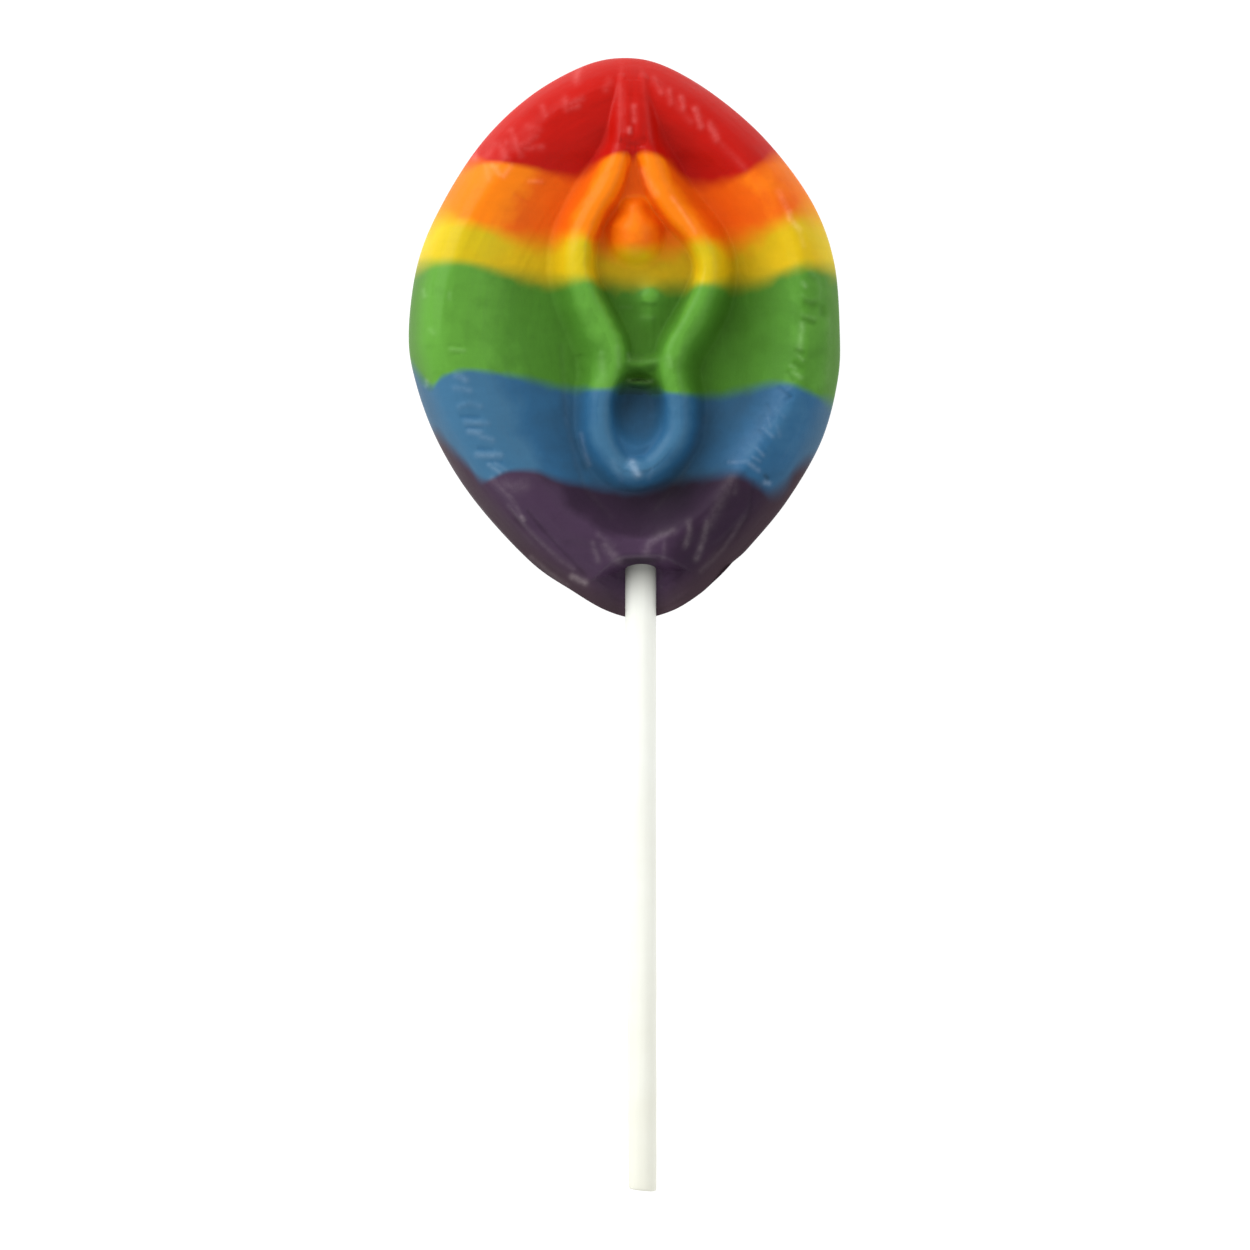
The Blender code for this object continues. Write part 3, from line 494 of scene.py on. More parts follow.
    ((8.6, 13.9, 8.6, 12.2, 8.1, 10.6), 0.419, 0.09, 0.35),
    ((11, 13.7, 10.5, 11.4, 9.6, 8.9), 0.432, 0.09, 0.41),
    ((14.3, 19.6, 12.8, 16.7, 11.3, 13.5), 0.783, 0.05, 0.21),
    ((14.8, 19.4, 14.7, 17.8), 0.486, 0.04, 0.15),
    ((17.2, 19.2, 16.7, 15.1, 14.9, 11.7), 0.3, -0.1, 0),
    ((15.9, 14.5, 13.2, 10.2, 10.2, 7.3), 0.351, 0.06, 0.15),
    ((14.3, 12.6, 11.8, 9.1), 0.26, -0.07, 0),
    # valley lines
    ((-8.5, 37.5, -8.2, 32.1, -7.9, 27.7, -6.5, 21.5, -5.4, 18.4, -1.9, 14.5), 0.41, -0.05, 0.04),
    ((10.6, 27.8, 9.4, 23.8, 7.4, 19.6, 4, 15.5), 0.41, -0.05, 0.04),
    ((-7.8, 27.7, -7, 23.8), 0.3, 0.05, 0.04),
)


# ---- colours in 8-bit sRGB ----
# Each sugar's colours: painted light where it stands proud, its own between, painted shade in the hollows,
# and a lighter, greyer painted sheen at the rim.
SUGAR_COLOURS = {
    "red": ((188, 19, 9), (186, 21, 11), (166, 17, 10), (194, 30, 20)),
    "orange": ((250, 130, 14), (232, 99, 8), (222, 84, 5), (245, 124, 16)),
    "yellow": ((212, 186, 24), (217, 181, 15), (176, 146, 10), (226, 196, 32)),
    "green": ((95, 157, 56), (76, 132, 41), (56, 102, 22), (80, 128, 45)),
    "blue": ((63, 111, 145), (45, 96, 135), (39, 67, 88), (66, 100, 126)),
    "purple": ((72, 52, 76), (52, 34, 55), (34, 23, 37), (66, 50, 58)),
}
SUGAR_PLACES = {"crest": "Crest", "body": "Body", "painted_shade": "Painted hollow shade", "rim": "Rim"}


def linear_colour(red, green, blue):
    """The shader's colour for one given as 8-bit sRGB."""
    channels = []
    for value in (red, green, blue):
        part = value / 255
        channels.append(part / 12.92 if part <= 0.04045 else ((part + 0.055) / 1.055) ** 2.4)
    return tuple(channels)


def tint(name, red, green, blue):
    """A colour property with its default."""
    return FloatVectorProperty(
        name=name, description="Colour of the " + name.lower(), subtype="COLOR", size=3, min=0, max=1,
        default=linear_colour(red, green, blue))


class LollipopShape(bpy.types.PropertyGroup):
    """Sizes a user would change."""
    spacing: FloatProperty(
        name="Mesh spacing", description="Distance between the surface's points", default=0.0002,
        min=0.0001, max=0.002, precision=5, unit="LENGTH")
    mark_height: FloatProperty(
        name="Mark height", description="Share of the full height of the small marks", default=1.0,
        min=0, max=2, subtype="FACTOR")
    waviness: FloatProperty(
        name="Waviness", description="Height of the slow unevenness of the cast surface",
        default=0.00006, min=0, max=0.0005, precision=5, unit="LENGTH")
    joint_softness: FloatProperty(
        name="Joint softness", description="Width over which one colour runs into the next",
        default=0.0005, min=0.0001, max=0.003, precision=5, unit="LENGTH")


class LollipopColours(bpy.types.PropertyGroup):
    """Colours of the marks, the stick and, added below, each layer."""
    # Colour of the whitened marks, which are partly painted glints.
    frost_and_glint: tint("Whitened marks and painted glints", 232, 222, 216)
    stick: tint("Stick", 249, 251, 243)
    stick_free_end: tint("Free end of the stick", 236, 236, 222)


for colour, tones in SUGAR_COLOURS.items():
    for (place, label), tone in zip(SUGAR_PLACES.items(), tones):
        LollipopColours.__annotations__[f"{colour}_{place}"] = tint(f"{colour} {label}".capitalize(), *tone)


# ---- lines and surfaces ----
def smooth_line(points, steps=CURVE_STEPS, closed=False):
    """Rows along a smooth curve through the given ones, with their further columns carried along."""
    rows = np.asarray(points, float)
    count = len(rows)
    line = []
    for i in range(count if closed else count - 1):
        if closed:
            a, b, c, d = rows[i - 1], rows[i], rows[(i + 1) % count], rows[(i + 2) % count]
        else:
            a, b, c, d = rows[max(i - 1, 0)], rows[i], rows[i + 1], rows[min(i + 2, count - 1)]
        for step in range(steps):
            t = step / steps
            square = 2 * a - 5 * b + 4 * c - d
            cube = 3 * b - a - 3 * c + d
            line.append(0.5 * (2 * b + (c - a) * t + square * t ** 2 + cube * t ** 3))
    if not closed:
        line.append(rows[-1])
    return np.array(line)


def nearest(x, y, line, closed=False):
    """The distance to a line, and the line's further columns at the nearest place."""
    best = np.full(x.shape, np.inf)
    carried = [np.zeros(x.shape) for column in range(line.shape[1] - 2)]
    for i in range(len(line) if closed else len(line) - 1):
        start = line[i]
        span = line[(i + 1) % len(line)] - start
        along = (x - start[0]) * span[0] + (y - start[1]) * span[1]
        t = np.clip(along / (span[0] ** 2 + span[1] ** 2 + 1e-12), 0, 1)
        gap = np.hypot(x - start[0] - t * span[0], y - start[1] - t * span[1])
        closer = gap < best
        best = np.where(closer, gap, best)
        for k, values in enumerate(carried):
            carried[k] = np.where(closer, start[k + 2] + t * span[k + 2], values)
    return [best] + carried


def inside(x, y, loop):
    """Whether each place lies inside a closed loop."""
    hit = np.zeros(x.shape, bool)
    for i in range(len(loop)):
        x0, y0 = loop[i - 1][:2]
        x1, y1 = loop[i][:2]
        if y0 != y1:
            crosses = (y0 > y) != (y1 > y)
            hit ^= crosses & (x < x0 + (y - y0) * (x1 - x0) / (y1 - y0))
    return hit


def read_table(place, rows, column):
    """A column of a table, read smoothly at a place along its first column."""
    line = smooth_line(rows)
    return np.interp(place, line[:, 0], line[:, column])


def join_high(a, b, softness):
    """The higher of two surfaces, with their crease filled over a width."""
    share = np.clip(0.5 + 0.5 * (a - b) / softness, 0, 1)
    return b + (a - b) * share + softness * share * (1 - share)


def join_low(a, b, softness):
    """The lower of two surfaces, with their edge rounded over a width."""
    return -join_high(-a, -b, softness)


def roll(x, y, points, drop):
    """A rounded roll along a path: it falls by drop at its half width."""
    gap, height, half = nearest(x, y, smooth_line(points))
    return height - drop * (gap / half) ** 2


def fold(x, y, points, between):
    """A fold: a roll with a flatter crest and a steeper foot on the side of the hollow."""
    gap, height, half = nearest(x, y, smooth_line(points))
    inward = (gap / read_table(y, FOLD_INSIDE, 1)) ** FOLD_INSIDE_POWER
    return height - FOLD_DROP * np.where(between, inward, (gap / half) ** 2)


def outer_ridge(x, y):
    """The thick outer ridge: a rounded wall up from the rim, then a slope down to the valley."""
    edge = nearest(x, y, smooth_line(OUTLINE, CURVE_STEPS, True), True)[0]
    crest, wall, roundness, valley = [read_table(y, BODY, column) for column in range(1, 5)]
    wall = wall + read_table(y, WALL_RIGHT, 1) * np.clip(x / WALL_RIGHT_FADE, 0, 1)
    valley = valley - VALLEY_LEAN * x
    climb = 1 - np.clip(edge / wall, 0, 1)
    outer = RIM_HEIGHT + (crest - RIM_HEIGHT) * (1 - climb ** roundness) ** (1 / roundness)
    foot_line = smooth_line(VALLEY, CURVE_STEPS, True)
    foot = np.where(inside(x, y, foot_line), -1, 1) * nearest(x, y, foot_line, True)[0]
    run = np.clip(edge - RIDGE_START * wall, 0, None)
    fall = run / np.maximum(run + foot, 1)
    inner = join_high(valley + (crest + RIDGE_EXTRA - valley) * (1 - fall), valley, VALLEY_SOFTNESS)
    return join_low(outer, inner, RIDGE_SOFTNESS)


def oval_bowl(x, y):
    """The oval recess: a floor that rises towards the stick, with steep walls."""
    reach = np.hypot((x - OVAL_MIDDLE[0]) / OVAL_HALF[0], (y - OVAL_MIDDLE[1]) / OVAL_HALF[1])
    return read_table(y, OVAL_FLOOR, 1) + OVAL_WALL * reach ** OVAL_POWER


def low_skirt(x, y):
    """The low skirt round the stick, and the steep step up to the relief."""
    foot = read_table(x, STEP_LINE, 1)
    out = np.clip(np.abs(x - SKIRT_FLAT[0]) - SKIRT_FLAT[1], 0, None)
    rise = SKIRT_RISE * out ** 2 / (out + SKIRT_EASE)
    return SKIRT_LEVEL + rise + STEP_STEEPNESS * np.clip(y - foot, 0, None)


def between_folds(x, y):
    """Whether each place lies between the crests of the two folds."""
    return inside(x, y, np.vstack([smooth_line(FOLD_LEFT), smooth_line(FOLD_RIGHT)[::-1]]))


def relief(x, y):
    """Height of the front at each place of the plan."""
    between = between_folds(x, y)
    front = np.where(between & (y < HOLLOW_TOP), read_table(y, FLOOR, 1), outer_ridge(x, y))
    softness = np.where(between, read_table(y, FOLD_SOFTNESS, 2), read_table(y, FOLD_SOFTNESS, 1))
    front = join_high(front, roll(x, y, HOOD, HOOD_DROP), HOOD_SOFTNESS)
    front = join_high(front, fold(x, y, FOLD_LEFT, between), softness)
    front = join_high(front, fold(x, y, FOLD_RIGHT, between), softness)
    front = join_high(front, roll(x, y, BRIDGE, BRIDGE_DROP), BRIDGE_SOFTNESS)
    front = join_low(front, oval_bowl(x, y), OVAL_SOFTNESS)
    front = join_high(front, roll(x, y, BEAD, BEAD_DROP), BEAD_SOFTNESS)
    front = join_high(front, roll(x, y, LEDGE, LEDGE_DROP), LEDGE_SOFTNESS)
    front = join_low(front, low_skirt(x, y), STEP_SOFTNESS)
    for bump_x, bump_y, height, size in BUMPS:
        front = front + height * np.exp(-((x - bump_x) ** 2 + (y - bump_y) ** 2) / (2 * size ** 2))
    return front


def ripple(across, along, seed):
    """Smooth, repeatable unevenness between -1 and 1, with features about one unit in size."""
    lattice = np.random.default_rng(seed).uniform(-1, 1, (LATTICE, LATTICE))
    column, row = np.floor(across).astype(int), np.floor(along).astype(int)
    fx, fy = [part * part * (3 - 2 * part) for part in (across - column, along - row)]
    low, high = [
        lattice[column % LATTICE, line] * (1 - fx) + lattice[(column + 1) % LATTICE, line] * fx
        for line in (row % LATTICE, (row + 1) % LATTICE)]
    return low * (1 - fy) + high * fy


def ease(value, low, high):
    """A smooth step from 0 at low to 1 at high."""
    share = np.clip((value - low) / (high - low), 0, 1)
    return share * share * (3 - 2 * share)


def running_length(line):
    """How far along the line each of its points is."""
    return np.concatenate([[0], np.cumsum(np.hypot(*np.diff(line, axis=0).T))])


class Rim:
    """The outline as one closed line, measured along from the head's round end, leftwards."""

    def __init__(self):
        self.line = smooth_line(OUTLINE, OUTLINE_STEPS, True)
        self.closed = np.vstack([self.line, self.line[:1]])
        self.steps = running_length(self.closed)
        self.length = self.steps[-1]

    def at(self, along):
        """Plan positions at distances along the outline."""
        along = np.mod(along, self.length)
        return np.stack([np.interp(along, self.steps, self.closed[:, k]) for k in (0, 1)], axis=-1)

    def crossing(self, inner, outer):
        """Where a short line from inside to outside meets the outline, as a distance along it."""
        start, span = self.closed[:-1], np.diff(self.closed, axis=0)
        reach = outer - inner
        turn = span[:, 0] * reach[1] - span[:, 1] * reach[0]
        away = start - inner
        along_line = (span[:, 0] * away[:, 1] - span[:, 1] * away[:, 0]) / turn
        along_rim = (reach[0] * away[:, 1] - reach[1] * away[:, 0]) / turn
        hit = np.flatnonzero((along_rim >= 0) & (along_rim <= 1) & (along_line >= 0) & (along_line <= 1))[0]
        return self.steps[hit] + along_rim[hit] * (self.steps[hit + 1] - self.steps[hit])


class Joint:
    """The line between two layers on the front, from rim to rim, and the one on the back."""

    def __init__(self, name, rim):
        self.blur = JOINT_BLUR[name]
        line = smooth_line(SEAMS[name], JOINT_STEPS)
        left = line[:1] - (JOINT_REACH, 0)
        right = line[-1:] + (JOINT_REACH, 0)
        line = np.vstack([left, line, right])
        kept = np.flatnonzero(inside(line[:, 0], line[:, 1], rim.line))
        first, last = kept[0], kept[-1]
        self.left = rim.crossing(line[first], line[first - 1])
        self.right = rim.crossing(line[last], line[last + 1])
        self.line = np.vstack([rim.at(self.left), line[first:last + 1], rim.at(self.right)])

    def at(self, share):
        """Plan positions at shares of the line's length."""
        steps = running_length(self.line)
        return np.stack([np.interp(share * steps[-1], steps, self.line[:, k]) for k in (0, 1)], axis=-1)

    def height(self, x):
        """How far up the head the joint lies at each x."""
        return np.interp(x, self.line[:, 0], self.line[:, 1])

    def back(self, x):
        """The same on the back, where the joint is a shallow curve between its two ends."""
        ends = self.line[[0, -1]]
        middle, half = ends[:, 0].mean(), np.ptp(ends[:, 0]) / 2
        sag = BACK_SAG * np.clip(1 - ((x - middle) / half) ** 2, 0, None)
        return np.interp(x, ends[:, 0], ends[:, 1]) - sag


def crowd(count, low_band, high_band):
    """Shares from 0 to 1 that crowd at the ends, as a quarter round's edge needs."""
    quarter = math.pi / 2
    span = low_band * quarter + 1 - low_band - high_band + high_band * quarter
    t = np.linspace(0, span, count + 1)
    share = low_band + t - low_band * quarter
    if low_band:
        turned = low_band * (1 - np.cos(np.clip(t / low_band, 0, quarter)))
        share = np.where(t < low_band * quarter, turned, share)
    if high_band:
        back = span - t
        turned = 1 - high_band * (1 - np.cos(np.clip(back / high_band, 0, quarter)))
        share = np.where(back < high_band * quarter, turned, share)
    share[0], share[-1] = 0.0, 1.0
    return share


def layer_plan(upper, lower, rim, u, v):
    """Plan positions of a layer's front: a patch between its joints and the outline."""
    if upper and lower:
        low, high = lower.at(u), upper.at(u)
        left = rim.at(lower.left + v * (upper.left - lower.left))
        right = rim.at(lower.right + v * (upper.right - lower.right))
    elif lower:
        far = lower.right - rim.length
        start, end = TIP_SHARE * lower.left, TIP_SHARE * far
        low, high = lower.at(u), rim.at(start + u * (end - start))
        left = rim.at(lower.left + v * (start - lower.left))
        right = rim.at(far + v * (end - far))
    else:
        middle = (upper.left + upper.right) / 2
        start = upper.left + TIP_SHARE * (middle - upper.left)
        end = upper.right + TIP_SHARE * (middle - upper.right)
        low, high = rim.at(start + u * (end - start)), upper.at(u)
        left = rim.at(start + v * (upper.left - start))
        right = rim.at(end + v * (upper.right - end))
    u, v = u[None, :, None], v[:, None, None]
    sides = (1 - v) * low[None] + v * high[None] + (1 - u) * left[:, None] + u * right[:, None]
    corners = (1 - u) * (1 - v) * low[0] + u * (1 - v) * low[-1] + (1 - u) * v * high[0] + u * v * high[-1]
    return sides - corners


def painted_shade_mask(x, y, height, wall_share, crest, valley):
    """How much painted shade each place of the front has: more in the hollows, at the foot of the folds and
    on the right, less on the bead and the bumps.
    """
    level = crest - HOLLOW_START
    painted_shade = np.clip((level - height) / np.maximum(level - valley, HOLLOW_LEAST), 0, HOLLOW_MOST)
    painted_shade = painted_shade * ease(wall_share, *WALL_TOP)
    near_stick = ease(y, *STICK_END)
    right = RIGHT_LINE - RIGHT_SHIFT * near_stick
    painted_shade = painted_shade + RIGHT_PAINTED_SHADE * ease(x, right, right + RIGHT_WIDTH) * (1 + near_stick)
    folds = [nearest(x, y, smooth_line(line))[0] / FOLD_REACH for line in (FOLD_LEFT, FOLD_RIGHT)]
    beside = np.minimum(*folds)
    between = between_folds(x, y)
    painted_shade = painted_shade * np.where(between, ease(beside, *CREST_BAND), 1)
    painted_shade = painted_shade + FOOT_PAINTED_SHADE * (between & (y > HOLLOW_END)) * ease(beside, *FOOT_BAND)
    gap, _, half = nearest(x, y, smooth_line(BEAD))
    painted_shade = painted_shade * (BEAD_KEEPS + (1 - BEAD_KEEPS) * ease(gap / half, *BEAD_FOOT))
    painted_shade = painted_shade + BEAD_OWN * (1 - ease(gap / half, *BEAD_TOP))
    # The bumps get painted light: less painted shade for their height.
    for bump_x, bump_y, bump_height, size in BUMPS:
        painted_shade = painted_shade - bump_height * np.exp(-((x - bump_x) ** 2 + (y - bump_y) ** 2) / (2 * size ** 2))
    return painted_shade


def front_surface(x, y, rim, shape):
    """Height of the finished front, the distance to its edge, and the masks that follow it: painted shade,
    the rim's painted sheen and the whitened marks with their painted glints.
    """
    height = relief(x, y)
    edge, along = nearest(x, y, np.column_stack([rim.closed, rim.steps]))
    crest, wall, _, valley = [read_table(y, BODY, column) for column in range(1, 5)]
    painted_shade = painted_shade_mask(x, y, height, edge / wall, crest, valley)
    frost_and_glint = np.zeros(x.shape)
    added = shape.waviness / MM * ripple(x / WAVE_SIZE, y / WAVE_SIZE, WAVE_SEED)
    streak = ripple(edge / STREAK_SIZE[0], along / STREAK_SIZE[1], STREAK_SEED)
    added = added + streak * (STREAK_HEIGHT + STREAK_EXTRA * ease(y, *STICK_END) * ease(edge, *STREAK_REACH))
    for path, half, rise, white in MARKS:
        line = np.reshape(path, (-1, 2))
        low, high = line.min(axis=0) - MARK_REACH * half, line.max(axis=0) + MARK_REACH * half
        near = (x > low[0]) & (x < high[0]) & (y > low[1]) & (y < high[1])
        if near.any():
            bell = np.exp(-(nearest(x[near], y[near], line)[0] / half) ** 2)
            added[near] += rise * shape.mark_height * bell
            # Whiteness is partly whitened sugar and partly painted glints.
            frost_and_glint[near] = np.maximum(frost_and_glint[near], white * bell)
            # Sunken marks get painted shade in their grooves.
            painted_shade[near] += GROOVE_SHADE * max(-rise, 0) * bell
    share = np.where(height > RIM_HEIGHT, np.sqrt(np.clip(edge / RIM_SETTLE, 0, 1)), 1)
    height = RIM_HEIGHT + (height - RIM_HEIGHT) * share
    height = np.minimum(height + added * ease(edge, 0, RIM_EVEN), TOP_LIMIT)
    return height, edge, {"painted_shade": painted_shade, "rim": 1 - ease(edge / wall, 0, RIM_BAND), "frost_and_glint": frost_and_glint}


# ---- pieces ----
def new_primitive(add, **settings):
    """A primitive on its own, with nothing else selected."""
    bpy.ops.object.select_all(action="DESELECT")
    add(**settings)
    return bpy.context.object


def new_grid(name, across, along):
    """A flat square grid, and where its points are in it."""
    piece = new_primitive(
        bpy.ops.mesh.primitive_grid_add, x_subdivisions=across, y_subdivisions=along, size=2)
    piece.name = name
    piece.data.name = piece.name
    return piece, read_points(piece.data, "position")


def read_points(mesh, name):
    """A value kept at each point: a number, or three."""
    layer = mesh.attributes[name]
    width = 1 if layer.data_type == "FLOAT" else 3
    values = np.zeros(len(mesh.vertices) * width, np.float32)
    layer.data.foreach_get("value" if width == 1 else "vector", values)
    return values.astype(float) if width == 1 else values.reshape(-1, 3).astype(float)


def write_points(mesh, name, values):
    """Keep a number or three at each point."""
    values = np.asarray(values, np.float32)
    kind, field = ("FLOAT", "value") if values.ndim == 1 else ("FLOAT_VECTOR", "vector")
    layer = mesh.attributes.get(name) or mesh.attributes.new(name, kind, "POINT")
    layer.data.foreach_set(field, values.ravel())
    mesh.update()


def remove_points(mesh, names):
    """Drop values that were kept only while the piece was made."""
    for name in names:
        mesh.attributes.remove(mesh.attributes[name])


def select_open_edge():
    """In edit mode, select the edge of an open surface."""
    bpy.ops.mesh.select_mode(type="EDGE")
    bpy.ops.mesh.select_all(action="DESELECT")
    bpy.ops.mesh.select_non_manifold(
        extend=False, use_wire=False, use_boundary=True, use_multi_face=False, use_non_contiguous=False,
        use_verts=False)


def add_row(piece, number):
    """Extrude the open edge by one row of points, number the row and say which points it holds."""
    bpy.ops.object.mode_set(mode="EDIT")
    select_open_edge()
    bpy.ops.mesh.extrude_region_move()
    bpy.ops.object.mode_set(mode="OBJECT")
    new = np.zeros(len(piece.data.vertices), bool)
    piece.data.vertices.foreach_get("select", new)
    rows = read_points(piece.data, "row")
    rows[new] = number
    write_points(piece.data, "row", rows)
    return new


def close_ends(piece):
    """Fill the open edges and point all faces outwards."""
    bpy.ops.object.mode_set(mode="EDIT")
    select_open_edge()
    bpy.ops.mesh.fill_holes(sides=0)
    bpy.ops.mesh.select_all(action="SELECT")
    bpy.ops.mesh.normals_make_consistent(inside=False)
    bpy.ops.mesh.select_all(action="DESELECT")
    bpy.ops.object.mode_set(mode="OBJECT")
    bpy.ops.object.shade_smooth()


def edge_row(front, back, edge, level, inset):
    """One row down a layer's edge: round under the rim, and straight down each joint."""
    share = 1 - level / RIM_HEIGHT
    plan = front[:, :2] * (1 - share) + back * share
    arm = plan - HEAD_CENTRE
    arm = arm / np.linalg.norm(arm, axis=1, keepdims=True)
    plan = plan - arm * (inset * np.exp(-edge / INSET_FADE))[:, None]
    return np.column_stack([plan, front[:, 2] * (1 - share)])


def mark_sharp(mesh, last_row):
    """Keep the shading of a layer's front, joints and back apart, where their edges are right angles."""
    joint = read_points(mesh, "on_joint") > 0.5
    corner = joint & (read_points(mesh, "on_rim") > 0.5)
    row = np.rint(read_points(mesh, "row"))
    ends = np.zeros(len(mesh.edges) * 2, np.int32)
    mesh.edges.foreach_get("vertices", ends)
    a, b = ends.reshape(-1, 2).T
    along_joint = joint[a] & joint[b] & (row[a] == row[b]) & np.isin(row[a], (0, last_row))
    down_corner = corner[a] & corner[b] & (row[a] != row[b])
    layer = mesh.attributes.get("sharp_edge") or mesh.attributes.new("sharp_edge", "BOOLEAN", "EDGE")
    layer.data.foreach_set("value", along_joint | down_corner)
    mesh.update()


def wrap_edge(piece, masks):
    """Take a layer's open edge down its sides in rows of points, and a little way onto the back."""
    mesh = piece.data
    rows = EDGE_ROWS + ((0.0, BACK_ROW_INSET),)
    for number, (level, inset) in enumerate(rows, 1):
        new = add_row(piece, number)
        back = read_points(mesh, "back")[new]
        made = edge_row(read_points(mesh, "front")[new], back[:, :2], back[:, 2], level, inset)
        if number == len(rows):
            made[:, 1] += read_points(mesh, "inward")[new]
            for name in masks:
                values = read_points(mesh, name)
                values[new] = BACK_PAINTED_SHADE if name == "painted_shade" else 0
                write_points(mesh, name, values)
        places = read_points(mesh, "position")
        places[new] = made
        write_points(mesh, "position", places)


def make_layer(colour, upper, lower, rim, shape):
    """One poured layer: its front, its edge and its back."""
    spacing = shape.spacing / MM
    across = int(ACROSS_LENGTH / spacing)
    length = TOP_LENGTH if not upper else BOTTOM_LENGTH if not lower else (
        upper.line[:, 1].mean() - lower.line[:, 1].mean())
    along = int(length / spacing)
    piece, square = new_grid("candy_" + colour, across, along)
    mesh = piece.data
    column = np.rint((square[:, 0] + 1) / 2 * across).astype(int)
    row = np.rint((square[:, 1] + 1) / 2 * along).astype(int)
    u = crowd(across, SIDE_BAND, SIDE_BAND)
    v = crowd(along, 0 if lower else TIP_BAND, 0 if upper else TIP_BAND)
    plan = layer_plan(upper, lower, rim, u, v)[row, column]
    x, y = plan.T
    height, edge, masks = front_surface(x, y, rim, shape)
    front = np.column_stack([plan, height])

    top, bottom = row == along, row == 0
    on_rim = (column == 0) | (column == across) | (top & (upper is None)) | (bottom & (lower is None))
    on_joint = (top & (upper is not None)) | (bottom & (lower is not None))
    back_y = y.copy()
    reach = shape.joint_softness / MM * (1 + BLUR_UNEVEN * ripple(x / BLUR_SIZE, y / BLUR_SIZE, BLUR_SEED))
    reach = reach * (1 + RIM_BLUR * masks["rim"] + HOLLOW_BLUR * np.clip(masks["painted_shade"], 0, 1))
    for joint, side, mask, sign in ((upper, top, "above", 1), (lower, bottom, "below", -1)):
        if joint:
            back_y[side & ~on_rim] = joint.back(x[side & ~on_rim])
            masks[mask] = 1 - ease(sign * (joint.height(x) - y) / (reach * joint.blur), -1, 1)
        else:
            masks[mask] = np.zeros(x.shape)
    inward = np.where(top, -BACK_ROW_STEP, BACK_ROW_STEP)
    helpers = {
        "row": np.zeros(x.shape), "on_rim": on_rim, "on_joint": on_joint, "front": front,
        "back": np.column_stack([x, back_y, np.where(on_rim, 0, edge)]),
        "inward": np.where(on_joint & ~on_rim, inward, 0)}
    for name, values in {"position": front, **masks, **helpers}.items():
        write_points(mesh, name, values)

    wrap_edge(piece, masks)
    write_points(mesh, "position", read_points(mesh, "position") * MM)
    close_ends(piece)
    mark_sharp(mesh, len(EDGE_ROWS))
    remove_points(mesh, helpers)
    return piece


def make_stick():
    """The rolled-paper stick: a tube of fine rows, slightly thinner and cut askew at its free end."""
    piece, square = new_grid("paper_stick", STICK_SIDES, STICK_ROWS)
    mesh = piece.data
    turn = (square[:, 0] + 1) * math.pi
    share = (square[:, 1] + 1) / 2
    helpers = {"turn": turn, "share": share, "row": np.zeros(turn.shape)}
    for name, values in {**helpers, "position": stick_places(turn, share, 0.0, 0.0)}.items():
        write_points(mesh, name, values)
    bpy.ops.object.mode_set(mode="EDIT")
    bpy.ops.mesh.select_all(action="SELECT")
    bpy.ops.mesh.remove_doubles(threshold=STICK_MERGE)
    bpy.ops.object.mode_set(mode="OBJECT")
    for number, (out, shrink) in enumerate(STICK_END_ROWS, 1):
        new = add_row(piece, number)
        places = read_points(mesh, "position")
        places[new] = stick_places(
            read_points(mesh, "turn")[new], read_points(mesh, "share")[new], out, shrink)
        write_points(mesh, "position", places)
    write_points(mesh, "position", read_points(mesh, "position") * MM)
    close_ends(piece)
    remove_points(mesh, helpers)
    return piece


def stick_places(turn, share, out, shrink):
    """Points round the stick: share is 0 at the free end and 1 in the head.

    Beyond the ends, out is how far out of the end a point is, and shrink how much nearer the middle.
    """
    free_x, free_y = STICK_FREE_END
    low, high = free_y + STICK_END_DEPTH, free_y + STICK_LENGTH - STICK_END_DEPTH
    around, swing = STICK_RIPPLE
    uneven = ripple(around + swing * np.sin(turn), share * STICK_WAVES + np.cos(turn), STICK_SEED)
    radius = STICK_RADIUS_FREE + (STICK_RADIUS_HEAD - STICK_RADIUS_FREE) * share
    radius = radius + STICK_UNEVEN * uneven - shrink
    at_free_end = share < 0.5
    askew = STICK_SKEW * (1 - np.cos(turn - STICK_SKEW_TURN)) / 2 * at_free_end
    y = low + (high - low) * share + np.where(at_free_end, -out, out) + askew * (share < STICK_CUT)
    x = free_x + (STICK_HEAD_X - free_x) * share
    return np.column_stack([x + radius * np.sin(turn), y, STICK_HEIGHT + radius * np.cos(turn)])


# ---- materials ----
def feed(tree, socket, source):
    """Give a socket a link or a value."""
    if isinstance(source, bpy.types.NodeSocket):
        tree.links.new(source, socket)
    else:
        socket.default_value = source


def add_node(tree, kind, inputs=None, **settings):
    """A node with its settings, and its inputs linked or set."""
    node = tree.nodes.new(kind)
    for name, value in settings.items():
        setattr(node, name, value)
    for key, source in (inputs or {}).items():
        feed(tree, node.inputs[key], source)
    return node


def add_math(tree, operation, a, b=0.0, clamp=False):
    """The result of a sum, product or difference."""
    return add_node(tree, "ShaderNodeMath", {0: a, 1: b}, operation=operation, use_clamp=clamp).outputs[0]


def add_mix(tree, factor, a, b):
    """A colour between two."""
    return add_node(tree, "ShaderNodeMix", {0: factor, 6: a, 7: b}, data_type="RGBA").outputs[2]


def add_place(tree):
    """The place on the object."""
    return add_node(tree, "ShaderNodeTexCoord").outputs["Object"]


